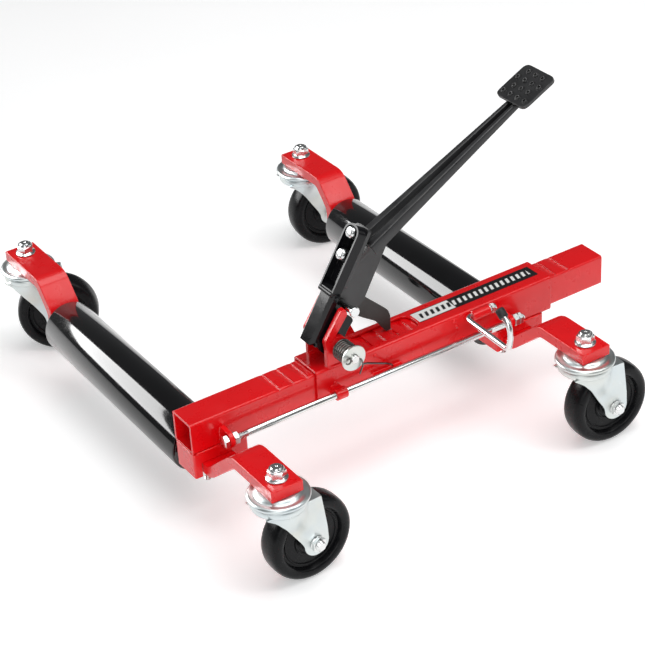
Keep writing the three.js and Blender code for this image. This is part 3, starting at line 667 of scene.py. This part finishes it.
# ---------------------------------------------------------------- arms
def arms():
    """The four bent bars with their bolts, the rollers and their axles."""
    middle = BAR["top"] - BAR["thick"] / 2
    front = band([(FRONT_Y - BAR["half"], middle), (-83.4, middle), (-31.1, 83.5), (14, 83.5)], BAR["thick"], 9)
    bar_face = ROLLER["front"] + ROLLER["length"] + 2.5
    tab = bar_face + BAR["thick"] / 2
    rear = band([(REAR_Y + BAR["half"], middle), (365, middle), (tab, 99.7), (tab, AXLE_Z - 14.5)], BAR["thick"], 8)
    for side, x in ARM_X.items():
        body = "sliding_frame" if side == "left" else "sleeve_frame"
        half = -TUBE_FACE if side == "left" else -SLEEVE_FACE
        for end, outline in (("front", front), ("rear", rear)):
            solid = prism(outline, x - BAR["half"], x + BAR["half"], "yz")
            piece(f"arm_bar_{end}_{side}", solid, body, "red", f"{end}_bar_{side}", 1.1)
        for i, dx in enumerate((-9, 9)):
            bolt = lathe([(0, 58.5), (3.2, 58.5)] + thread(4, 59.3, 68) + [(4, 70), (4, 95), (0, 95)],
                         "z", (x + dx, -8), 32)
            nut = join(hexagon("z", 13, 68.4, 75, (x + dx, -8), 1), rod("z", 8.2, 74.6, 76.4, (x + dx, -8), 0.3))
            piece(f"bolt_{side}_{i + 1}", join(bolt, nut), body, "zinc", f"bracket_bolt_{side}_{i + 1}", 0)
        roller(side, x)
        start = bar_face + BAR["thick"] + 0.3
        profile = [(0, half - 4), (5.4, half - 4), (6, half - 3.4), (6, start + 3)]
        profile += thread(6, start + 4, start + 8, 1.5) + [(4.6, start + 8.7), (0, start + 8.7)]
        piece(f"axle_shaft_{side}", lathe(profile, "y", (x, AXLE_Z), 40), body, "zinc_bright",
              f"roller_axle_{side}", 0)
        nut = join(hexagon("y", 18, start + 0.9, start + 7, (x, AXLE_Z), 1.2),
                   rod("y", 11.2, start, start + 1.4, (x, AXLE_Z), 0.3))
        hole = drill("y", 6.15, start - 1, start + 9, (x, AXLE_Z))
        piece(f"axle_end_nut_{side}", cut(nut, hole), body, "zinc", f"axle_nut_{side}", 0.25)


def roller(side, x):
    r, start, end = ROLLER["radius"], ROLLER["front"], ROLLER["front"] + ROLLER["length"]
    inside, plug = r - ROLLER["wall"], ROLLER["plug"]

    def cap(face, way):
        return [(M12_HOLE, face + way * 1.2), (9.5, face + way * 1.2), (10.2, face + way * 2.4),
                (r - 5.2, face + way * 2.4), (r - 4.4, face + way * 0.6), (r - 3.6, face),
                (r - 1.4, face), (r - 0.45, face + way * 0.4), (r, face + way * 1.4)]

    profile = cap(start, 1) + cap(end, -1)[::-1]
    profile += [(M12_HOLE, end - plug), (inside, end - plug), (inside, start + plug), (M12_HOLE, start + plug)]
    piece(f"roller_tube_{side}", lathe(profile, "y", (x, AXLE_Z), 128, loop=True),
          f"roller_{side}_spin", "roller", f"roller_{side}", 0, angle=40)


# ---------------------------------------------------------------- casters
def value_at(points, z):
    """The value at z of points listed as (z, value), highest z first, straight between them."""
    for (z1, v1), (z0, v0) in zip(points, points[1:]):
        if z >= z0:
            return v0 + (v1 - v0) * (z - z0) / (z1 - z0)
    return points[-1][1]


def fork_leg(side):
    """One side of the fork: flat at the wheel, curling into the round crown above."""
    front = [(106, -28.5), (103.5, -26), (98, -17.5), (89, -9.5), (77.5, -2), (66, 5.4), (58, 10.6), (53, 13.2),
             (50, 14)]
    back = [(106, 38.2), (85, 41), (65, 43.4), (50, 44)]
    axle_x, axle_z = CASTER_AXLE
    eye = 15
    half, sheet, crown = FORK_WALL["half"], FORK_WALL["sheet"], FORK_WALL["crown"]
    heights = [106 - i * 2.0 for i in range(29)]
    heights += [axle_z - eye * math.sin(math.radians(a)) for a in range(8, 89, 8)]
    columns = 16
    outer, inner = [], []
    for z in heights:
        if z >= axle_z:
            left, right = value_at(front, z), value_at(back, z)
        else:
            reach = math.sqrt(max(eye ** 2 - (axle_z - z) ** 2, 0.3))
            left, right = axle_x - reach, axle_x + reach
        rise = min(max((z - 66) / 38, 0), 1)
        rise = rise * rise * (3 - 2 * rise)
        for i in range(columns + 1):
            x = left + (right - left) * i / columns
            wall = math.sqrt(crown ** 2 - min(x * x, crown ** 2))
            y = half + (max(half, wall) - half) * rise
            outer.append((x, side * y, z))
            inner.append((x, side * (y - sheet), z))
    rows, width = len(heights), columns + 1
    verts = outer + inner
    faces = []
    shift = rows * width
    for r in range(rows - 1):
        for i in range(columns):
            a, b, c, d = r * width + i, r * width + i + 1, (r + 1) * width + i + 1, (r + 1) * width + i
            faces += [[a, b, c, d], [shift + a, shift + d, shift + c, shift + b]]
    for r in range(rows - 1):
        for i in (0, columns):
            a, d = r * width + i, (r + 1) * width + i
            faces.append([a, d, shift + d, shift + a])
    for i in range(columns):
        for r in (0, rows - 1):
            a, b = r * width + i, r * width + i + 1
            faces.append([a, b, shift + b, shift + a])
    return closed(verts, faces)


def fork_mesh():
    crown = lathe([(M12_HOLE, 112.0), (27.5, 112.0), (29.6, 111.2), (30.4, 109.4), (30.4, 106), (29.9, 104),
                   (28.9, 103.2), (27.6, 103.2), (26.8, 104.5), (25.0, 106.5), (M12_HOLE, 106.5)], sides=80, loop=True)
    shoulder = block(0, 38.4, -20.3, 20.3, 103.4, 106.4, 3)
    solid = join(crown, shoulder, fork_leg(-1), fork_leg(1))
    return cut(solid, drill("y", M12_HOLE, -30, 30, CASTER_AXLE))


def wheel_mesh():
    half = [(M12_HOLE, 16.6), (11.2, 16.6), (12.2, 15.8), (12.8, 10.2), (14.0, 9.2), (17.6, 9.2), (18.2, 10.4),
            (20.0, 10.4), (20.7, 9.0), (30.6, 8.2), (31.2, 9.3), (32.4, 9.3), (33.0, 8.4), (35.0, 8.6),
            (36.4, 12.6), (37.2, 13.8), (38.4, 14.6), (41.0, 15.0), (44.0, 14.7), (46.4, 13.6), (48.3, 11.4),
            (49.4, 8.4), (49.9, 4.4)]
    profile = half + [(50.0, 0)] + [(r, -y) for r, y in reversed(half)]
    axle_x, axle_z = CASTER_AXLE
    return moved(lathe(profile, "y", (0, 0), 112, loop=True), Matrix.Translation((axle_x, 0, axle_z)))


def race_mesh():
    return lathe([(M12_HOLE, 112.6), (24.5, 112.6), (27.5, 112.7), (30.2, 112.9), (32.4, 113.6), (33.4, 115.0),
                  (33.5, 116.2), (33.0, 117.6), (31.6, 118.6), (29.6, 118.9), (27.2, 118.6), (25.4, 118.9),
                  (23.8, 120.2), (22.6, 121.6), (21.2, 122.15), (M12_HOLE, 122.15)], sides=112, loop=True)


def king_bolt_mesh():
    base = BAR["top"] + 0.3
    flange = lathe([(0, base), (11.6, base), (12.0, base + 0.7), (11.7, base + 1.6), (10.2, base + 2.5),
                    (9.2, base + 3.4), (0, base + 3.4)], sides=64)
    nut = hexagon("z", 17.4, base + 1.2, base + 10.4, (0, 0), 1.3)
    collar = lathe([(0, base + 9.5), (8.2, base + 9.5), (8.2, base + 11.4), (7.6, base + 12.4), (6.6, base + 12.7),
                    (0, base + 12.7)], sides=64)
    stem = lathe([(0, 97.5), (8.2, 97.5), (9, 98.4), (9, 103), (6, 103.1), (6, base + 13.0), (5.2, base + 13.9),
                  (1.6, base + 13.9), (0.9, base + 13.3), (0, base + 13.2)], sides=48)
    return join(flange, nut, collar, stem)


def axle_bolt_mesh():
    head = join(hexagon("y", 15, 21.4, 26.3, CASTER_AXLE, 1), rod("y", 8.4, 20.4, 21.8, CASTER_AXLE, 0.3))
    nut = join(hexagon("y", 15, -26.3, -21.4, CASTER_AXLE, 1), rod("y", 8.4, -21.8, -20.4, CASTER_AXLE, 0.3))
    profile = [(0, -29.8), (4.4, -29.8)] + thread(5.6, -29, -25.8, 1.2) + [(6, -25), (6, 24), (0, 24)]
    return join(lathe(profile, "y", CASTER_AXLE, 40), head, nut)


def casters():
    shapes = {"fork": fork_mesh(), "wheel": wheel_mesh(), "race": race_mesh(),
              "king_bolt": king_bolt_mesh(), "axle_bolt": axle_bolt_mesh()}
    for name, (x, y, turn) in CASTERS.items():
        place = Matrix.Translation((x, y, 0)) @ Matrix.Rotation(math.radians(turn), 4, "Z")
        host = "sliding_frame" if "left" in name else "sleeve_frame"
        swivel = f"swivel_{name}"
        piece(f"caster_race_{name}", moved(shapes["race"], place), host, "zinc", f"{name}_race", 0, angle=50)
        piece(f"caster_bolt_{name}", moved(shapes["king_bolt"], place), host, "zinc_bright",
              f"{name}_king_bolt", 0, angle=28)
        piece(f"caster_fork_{name}", moved(shapes["fork"], place), swivel, "zinc", f"{name}_fork", 0.35,
              2, 42)
        piece(f"caster_axle_{name}", moved(shapes["axle_bolt"], place), swivel, "zinc_bright",
              f"{name}_axle_bolt", 0, angle=28)
        piece(f"caster_wheel_{name}", moved(shapes["wheel"], place), f"wheel_{name}", "wheel",
              f"{name}_wheel", 0, angle=36)


# ---------------------------------------------------------------- foot lever
def ears():
    """The near ear is a narrow finger on a small base; the far ear has a long foot."""
    foot = SLEEVE["top"] - 0.7
    finger = [(171, foot), (171.3, 167, 2), (169.2, 178.2, 3), (192.3, 210.5, 4), (197.5, 210.5, 3), (200, 203, 3),
              (182, 180, 3)]
    near_side = [(195, 178, 9), (200, 163, 8), (204, foot)]
    far_side = [(196, 182, 6), (223, 170, 6), (234, foot)]
    for name, node, y0, y1, rest in (("ear_near", "front_ear", -22, -15.5, near_side),
                                     ("ear_far", "rear_ear", 17.5, 22, far_side)):
        hole = drill("y", PIVOT_HOLE, y0 - 1, y1 + 1, PIVOT)
        solid = prism(soft(finger + rest, 8), y0, y1)
        piece(name, cut(solid, hole), "sleeve_frame", "red", node, 0.7)
        for side in (y0 - 0.2, y1 + 0.2):
            line = [(172, side, SLEEVE["top"] + 0.3), (rest[-1][0] - 1, side, SLEEVE["top"] + 0.3)]
            weld(f"weld_{name}_{int(side)}", line, "sleeve_frame", 1.4)


def lever_channel():
    """Drawn lying along z: a channel below, a round-ended tray with a slot above, then leant over."""
    section = soft([(2, -8.3), (5.4, -12.5), (12, -12.5, 0.5), (12, -9.7, 0.5), (6.6, -9.7, 1), (4.8, -7.6, 1),
                    (4.8, 7.6, 1), (6.6, 9.7, 1), (12, 9.7, 0.5), (12, 12.5, 0.5), (5.4, 12.5), (2, 8.3)], 3)
    web = prism(section, 0, 66, "xy")
    for side in (-1, 1):
        corner = [(side * 13, -1), (side * 8, -1), (side * 13, 5)]
        web = cut(web, prism(corner, 0, 8, "yz"))
    cheek = soft([(6, 4), (6, 66), (12, 66), (12, 46, 6), (39.5, 42, 3), (44, 38.5, 3), (41.2, 22.9, 8),
                  (47.2, 0.9, 9), (36.2, -7.1, 9), (20.2, -5.1, 9)], 8)
    cheeks = [prism(cheek, -12.5, -9.7), prism(cheek, 9.7, 12.5)]
    end = LEVER_LENGTH
    stadium = soft([(60, -12.5, 2), (end, -12.5, 12.4), (end, 12.5, 12.4), (60, 12.5, 2)], 12)
    pocket = soft([(62.8, -10.4, 2), (136.9, -10.4, 10.3), (136.9, 10.4, 10.3), (62.8, 10.4, 2)], 12)
    slot = soft([(95, -5.6, 5.5), (136, -5.6, 5.5), (136, 5.6, 5.5), (95, 5.6, 5.5)], 8)
    lip = lathe([(0, -12.2), (2.4, -12.2), (3.2, -11.4), (3.2, 11.4), (2.4, 12.2), (0, 12.2)], "y", (2.0, 60.5), 32)

    def upright(outline, low, high):
        """An outline drawn along z and across y, given thickness along x."""
        swap = Matrix(((0, 0, 1, 0), (0, 1, 0, 0), (1, 0, 0, 0), (0, 0, 0, 1)))
        return moved(prism(outline, low, high, "xy"), swap)

    body = join(web, *cheeks, upright(stadium, 0, 12), lip)
    hollow = outward(upright(pocket, -1, 9.2))
    through = outward(upright(slot, -1, 13))
    hole = drill("y", PIVOT_HOLE, -14, 14, (32.2, 8.9))
    scoop = [(0.2, 60), (0.6, 63.5), (2.2, 67), (5.2, 70), (9.3, 72), (9.3, 60)]
    body = join(cut(body, hollow, through, hole), prism(scoop, -10.6, 10.6))
    piece("lever_channel_body", moved(body, LEVER_FRAME), "foot_lever", "gloss", "lever_channel", 0.75)
    for i, along in enumerate(CLAMP_PLACES):
        head = lathe([(0, -3.5), (3.4, -3.3), (5.4, -2.5), (6.6, -1.0), (7, 0.8), (7, 8.8), (0, 8.8)], "x",
                     (0, along), 48)
        shank = lathe([(0, 8), (4, 8), (4, 15.6), (3.4, 16.2), (0, 16.2)], "x", (0, along), 32)
        piece(f"clamp_bolt_fine_{i + 1}", moved(join(head, shank), LEVER_FRAME), "foot_lever", "zinc_bright",
              f"clamp_bolt_{i + 1}", 0, angle=28)


def outward(mesh):
    """Turns the faces of a mirrored mesh outwards again."""
    bm = bmesh.new()
    bm.from_mesh(mesh)
    bmesh.ops.recalc_face_normals(bm, faces=bm.faces)
    bm.to_mesh(mesh)
    bm.free()
    return mesh


def arm_ring(x, width, depth):
    """The arm's section: a ridge along each edge of its top, hollow beneath."""
    half = width / 2
    top = [(-1, -1), (-0.96, -0.22), (-0.9, -0.05), (-0.8, 0), (-0.5, 0), (-0.36, -0.06), (-0.22, -0.5),
           (-0.12, -0.62), (0.12, -0.62), (0.22, -0.5), (0.36, -0.06), (0.5, 0), (0.8, 0), (0.9, -0.05),
           (0.96, -0.22), (1, -1)]
    under = [(0.86, -1), (0.82, -0.42), (0.56, -0.3), (0.34, -0.5), (0.16, -0.88), (-0.16, -0.88),
             (-0.34, -0.5), (-0.56, -0.3), (-0.82, -0.42), (-0.86, -1)]
    return [(x, y * half, z * depth) for y, z in top + under]


def pedal_arm():
    steps, length = 40, 229
    rings = []
    for i in range(steps + 1):
        t = i / steps
        rings.append(arm_ring(length * t, 34 - 19 * t ** 0.9, 13 - 6.5 * t))
    blade = moved(loft(rings), ARM_FRAME)
    gusset = prism(soft([(248, 268), (279, 278), (235.5, 202, 2), (226, 192, 7), (208, 191, 9), (192, 203, 7),
                         (199.8, 223.2)], 8), -3, 3)
    foot = moved(block(12.3, 16.5, -12, 12, 70, LEVER_LENGTH, 3, "yz"), LEVER_FRAME)
    hole = drill("y", PAWL_PIN_HOLE, -4, 4, PAWL_PIN)
    bolts = [moved(drill("x", 4.2, 10, 20, (0, along), 32), LEVER_FRAME) for along in CLAMP_PLACES]
    body = cut(join(blade, gusset, foot), hole, *bolts)
    piece("pedal_arm_pressing", body, "foot_lever", "satin", "pedal_arm", 0.5, 2)


def foot_pad():
    start, half = PAD["start"], PAD["half"]
    end = start + PAD["length"]
    outline = soft([(start, -half, 8), (end, -half, 8), (end, half, 8), (start, half, 8)], 10)
    plate = prism(outline, 0.3, PAD["thickness"], "xy")
    studs = []
    for row in range(4):
        count = 4 if row % 2 == 0 else 3
        for i in range(count):
            x, y = start + 8.2 + row * 11.2, (i - (count - 1) / 2) * 12
            studs.append(lathe([(0, 3.4), (3.7, 3.4), (3.5, 4.2), (2.7, 5.7), (2.2, 6.1), (1.6, 5.8), (1.0, 4.6),
                                (0, 4.3)], "z", (x, y), 20))
    pad = join(plate, together(studs))
    piece("foot_pad_plate", moved(pad, ARM_FRAME), "foot_lever", "satin", "foot_pad", 0.45, 2)


def drive_pawl():
    outline = soft([(196, 204, 6), (204, 217, 8), (226, 208, 8), (239.8, 197.2, 3), (269, 169.3, 2.5),
                    (272, 161, 3), (271.5, 142.8, 0.8), (265.5, 142.8, 0.8), (252.5, 161, 5), (234.8, 172.5, 8),
                    (206, 195, 9)], 8)
    hole = drill("y", PAWL_PIN_HOLE, 3, 10, PAWL_PIN)
    piece("drive_pawl_plate", cut(prism(outline, 3.6, 9), hole), "pawl", "plate", "drive_pawl", 0.5)


def pins():
    shaft = lathe([(0, -31.4), (5.2, -31.4), (5.8, -30.8), (6, -30), (6, -28.4), (5.7, -28), (4, -28),
                   (4, 14.4), (7, 14.4), (7, 16.6), (6.5, 17), (0, 17)], "y", PAWL_PIN, 48)
    piece("pawl_pin_shaft", shaft, "foot_lever", "zinc_bright", "pawl_pin", 0.2)
    shaft = lathe([(0, -54), (4.1, -54), (5, -53.1), (5, 22.4), (7.6, 22.4), (8, 22.8), (8, 25.4), (7.4, 26),
                   (0, 26)], "y", PIVOT, 48)
    piece("pivot_pin_shaft", shaft, "sleeve_frame", "zinc_bright", "pivot_pin", 0.2)
    disc = lathe([(PIVOT_HOLE, -50.3), (14.4, -50.3), (15, -49.9), (15, -48.7), (14.4, -48.2),
                  (PIVOT_HOLE, -48.2)], "y", PIVOT, 72, loop=True)
    piece("pivot_washer_disc", disc, "sleeve_frame", "zinc", "pivot_washer", 0)
    split_pin()


def split_pin():
    """Ring and two bent prongs of the split pin that holds the washer."""
    x, z = PIVOT
    ring = []
    for i in range(25):
        a = math.radians(50 + 280 * i / 24)
        ring.append((x - 9.2 - 3.2 * math.cos(a), -53.2, z + 1.2 + 3.2 * math.sin(a)))
    piece("split_pin_ring", sweep(ring, 0.95, 14), "sleeve_frame", "spring", bevel=0, angle=60)
    leg = soft_line([(x + 4.9, -52.2, z - 1.5), (x + 7.5, -52.4, z - 2.5), (x + 9.5, -52.8, z - 10),
                     (x + 4.5, -53, z - 20)], 1.4, 6)
    piece("split_pin_leg", sweep(leg, 0.9, 14), "sleeve_frame", "spring", bevel=0, angle=60)


def torsion_spring():
    """A coil round the pivot pin whose free end runs out to a tab on the sleeve."""
    points = []
    per_turn = 28
    last = SPRING["turns"] * per_turn
    for i in range(last + 1):
        a = 2 * math.pi * i / per_turn - math.pi / 2
        y = SPRING["far"] + (SPRING["near"] - SPRING["far"]) * i / last
        points.append(Vector(turn_point("y", SPRING["radius"], a, y, PIVOT)))
    leg = [points[-1], Vector((208, -43, 148)), Vector((240, -32, 129)), Vector((249, -28, 122)),
           Vector((252, -26, 118))]
    points += [leg[0].lerp(leg[1], k / 8) for k in range(1, 8)]
    points += soft_line(leg[1:], 3.0, 6)
    piece("torsion_spring_coil", sweep(points, SPRING["wire"], 14), "sleeve_frame", "spring", "torsion_spring", 0,
          angle=60)


# ---------------------------------------------------------------- release handle and details
def release():
    x, y, z, radius = GRIP["x"], GRIP["y"], GRIP["z"], GRIP["radius"]
    bush = rod("x", 6, 359, 383, (y, z), 0.7)
    foot = block(359.3, 382.7, y, SLEEVE_FACE + 0.4, z - 5, z + 1.8, 0.8, "xz")
    hole = drill("x", radius + 0.25, 357, 385, (y, z))
    piece("release_boss_tube", cut(join(bush, foot), hole), "sleeve_frame", "red", "release_boss", 0.5)
    elbow, rise = Vector((x, y - 77, z - 3)), Vector((x, y - 78, z + 7))
    bow, top = Vector((x, y - 83, z + 25)), Vector((x, y - 62, z + 39.5))
    neck = bow.lerp(top, 0.6)
    path = soft_line([(386, y, z), (x, y, z), elbow, rise], 8, 10)[:-1]
    steps = 16
    path += [rise.lerp(bow, k / steps).lerp(bow.lerp(neck, k / steps), k / steps) for k in range(1, steps + 1)]
    bar = sweep(path + [top], radius, 28)
    acorn = join(hexagon("x", 11, 385.2, 389.4, (y, z), 0.7),
                 lathe([(0, 388.5), (5.1, 388.5), (5.0, 390), (4.4, 391.6), (2.9, 392.8), (0, 393.3)],
                       "x", (y, z), 40))
    piece("release_handle_bar", join(bar, acorn), "handle", "zinc_bright", "release_handle", 0, angle=28)
    along = (top - bow).normalized()
    lean = Matrix.Translation(top) @ Vector((0, 0, 1)).rotation_difference(along).to_matrix().to_4x4()
    bore = radius + 0.2
    cap = lathe([(0, 0.2), (bore, 0.2), (bore, -8), (5.0, -8), (5.4, -7.5), (5.35, 1.6), (4.9, 2.5), (4.2, 3),
                 (0, 3)], sides=48)
    piece("handle_cap_rubber", moved(cap, lean), "handle", "rubber", "handle_cap", 0, angle=50)


def label():
    left, right, near, far, reach = 303, 470, -9.5, 11.5, 1.5
    outline = soft([(left, near, reach), (right, near, reach), (right, far, reach), (left, far, reach)], 6)
    plate = prism(outline, SLEEVE["top"] + 0.02, SLEEVE["top"] + 0.22, "xy")
    piece("sleeve_label", plate, "sleeve_frame", "label", bevel=0)


def weld_spots():
    """Small plug welds on the sleeve's near face, as (x, z)."""
    spots = [(343, 131), (340, 139), (179, 123.5), (232, 137.5)]
    for i, (x, z) in enumerate(spots):
        dome = lathe([(0, SLEEVE_FACE + 0.5), (2.6, SLEEVE_FACE + 0.5), (2.3, SLEEVE_FACE - 0.7),
                      (1.3, SLEEVE_FACE - 1.3), (0, SLEEVE_FACE - 1.5)], "y", (x, z), 24)
        piece(f"weld_spot_{i + 1}", dome, "sleeve_frame", "red", bevel=0, angle=70)


def seams():
    """Weld beads between the crossbar and the brackets."""
    low, high, y, z = 3, 64, 19.1, 103.9
    weld("weld_left_near", [(low, -y, z), (high, -y, z)], "sliding_frame", 1.3)
    weld("weld_left_far", [(low, y, z), (high, y, z)], "sliding_frame", 1.3)
    weld("weld_left_end", [(0, -16, z), (0, 16, z)], "sliding_frame", 1.1)
    low, high, y, z = 403, 464, 22.6, 100.4
    weld("weld_right_near", [(low, -y, z), (high, -y, z)], "sleeve_frame", 1.3)
    weld("weld_right_far", [(low, y, z), (high, y, z)], "sleeve_frame", 1.3)


# ---------------------------------------------------------------- the dolly
crossbar()
bracket("bracket_box_left", "left_bracket", 0, -TUBE_FACE, TUBE["top"] - TUBE["side"], ARM_X["left"],
        "sliding_frame")
bracket("bracket_box_right", "right_bracket", 400, -SLEEVE_FACE, SLEEVE["top"] - SLEEVE["side"], ARM_X["right"],
        "sleeve_frame")
stop_rod()
rod_guide()
arms()
casters()
ears()
lever_channel()
pedal_arm()
foot_pad()
drive_pawl()
pins()
torsion_spring()
release()
label()
weld_spots()
seams()


# ---------------------------------------------------------------- studio
def area(name, place, target, width, height, power):
    light = bpy.data.lights.new(name, "AREA")
    light.shape = "RECTANGLE"
    light.size, light.size_y = width, height
    light.energy = power
    lamp = bpy.data.objects.new(name, light)
    lamp.location = place
    lamp.rotation_euler = (Vector(target) - Vector(place)).to_track_quat("-Z", "Y").to_euler()
    bpy.context.scene.collection.objects.link(lamp)
    return lamp


def strip_light(x0, z0, x1, z1, y0, y1, power):
    """One long soft light whose edges run parallel to the rollers, seen in them as an even band."""
    span = Vector((x1 - x0, 0, z1 - z0))
    inward = Vector((span.z, 0, -span.x)).normalized()
    centre = Vector(((x0 + x1) / 2, (y0 + y1) / 2, (z0 + z1) / 2))
    lamp = area("strip_left", centre, centre + inward, y1 - y0, span.length, power)
    along = Vector((0, 1, 0))
    basis = Matrix((along, along.cross(inward), -inward)).transposed()
    lamp.rotation_euler = basis.to_euler()
    lamp.visible_diffuse = False
    lamp.visible_camera = False


def studio():
    """A pale floor, soft lights in metres and watts, and a faint even sky."""
    mesh = bpy.data.meshes.new("floor")
    reach, drop = 9, -0.0004
    corners = [(-reach, -reach, drop), (reach, -reach, drop), (reach, reach, drop), (-reach, reach, drop)]
    mesh.from_pydata(corners, [], [(0, 1, 2, 3)])
    floor = bpy.data.objects.new("floor", mesh)
    bpy.context.scene.collection.objects.link(floor)
    n = Nodes("floor_paper")
    n.link(n.mix(n.span(n.noise(3, 3), 0, 1), (0.93, 0.93, 0.93, 1), (0.95, 0.95, 0.95, 1)),
           n.shader.inputs["Base Color"])
    n.set(Roughness=0.85, Specular_IOR_Level=0.1, Emission_Color=(1, 1, 1, 1), Emission_Strength=0.36)
    mesh.materials.append(n.material)
    strip_light(-1.70, 0.63, -0.58, 1.14, 0.55, 3.0, 100)
    area("key_front", (-1.3, -2.2, 2.3), (0, 0, 0.1), 1.6, 1.6, 22)
    area("edge_light", (1.5, -1.8, 2.5), (0, 0, 0.1), 1.2, 1.2, 17)
    area("low_front", (-2.0, -2.0, 0.9), (0, 0, 0.15), 1.6, 1.1, 10)
    area("top_soft", (0.2, -0.3, 3.0), (0, 0, 0), 2.2, 2.2, 52)
    area("fill_right", (2.6, -1.6, 1.3), (0, 0, 0.1), 1.6, 1.6, 5)
    world = bpy.data.worlds.new("studio")
    world.use_nodes = True
    sky = world.node_tree.nodes["Background"]
    sky.inputs["Color"].default_value = (0.84, 0.86, 0.88, 1)
    sky.inputs["Strength"].default_value = 0.14
    bpy.context.scene.world = world
    bpy.context.scene.view_settings.view_transform = "Standard"


def camera():
    place = Vector((-740.4, -1504.5, 1304.3))
    right = Vector((0.8353, -0.5466, -0.0583))
    up = Vector((0.3331, 0.4189, 0.8447))
    back = Vector((-0.4373, -0.7251, 0.5320))
    data = bpy.data.cameras.new("camera")
    data.sensor_width = 36
    data.lens = 108.22
    data.shift_x = 0.01805
    data.shift_y = -0.0069
    data.clip_end = 100
    view = bpy.data.objects.new("camera", data)
    basis = Matrix((right, up, back)).transposed().to_4x4()
    view.matrix_world = Matrix.Translation(BENCH @ place) @ basis
    bpy.context.scene.collection.objects.link(view)
    bpy.context.scene.camera = view


studio()
camera()
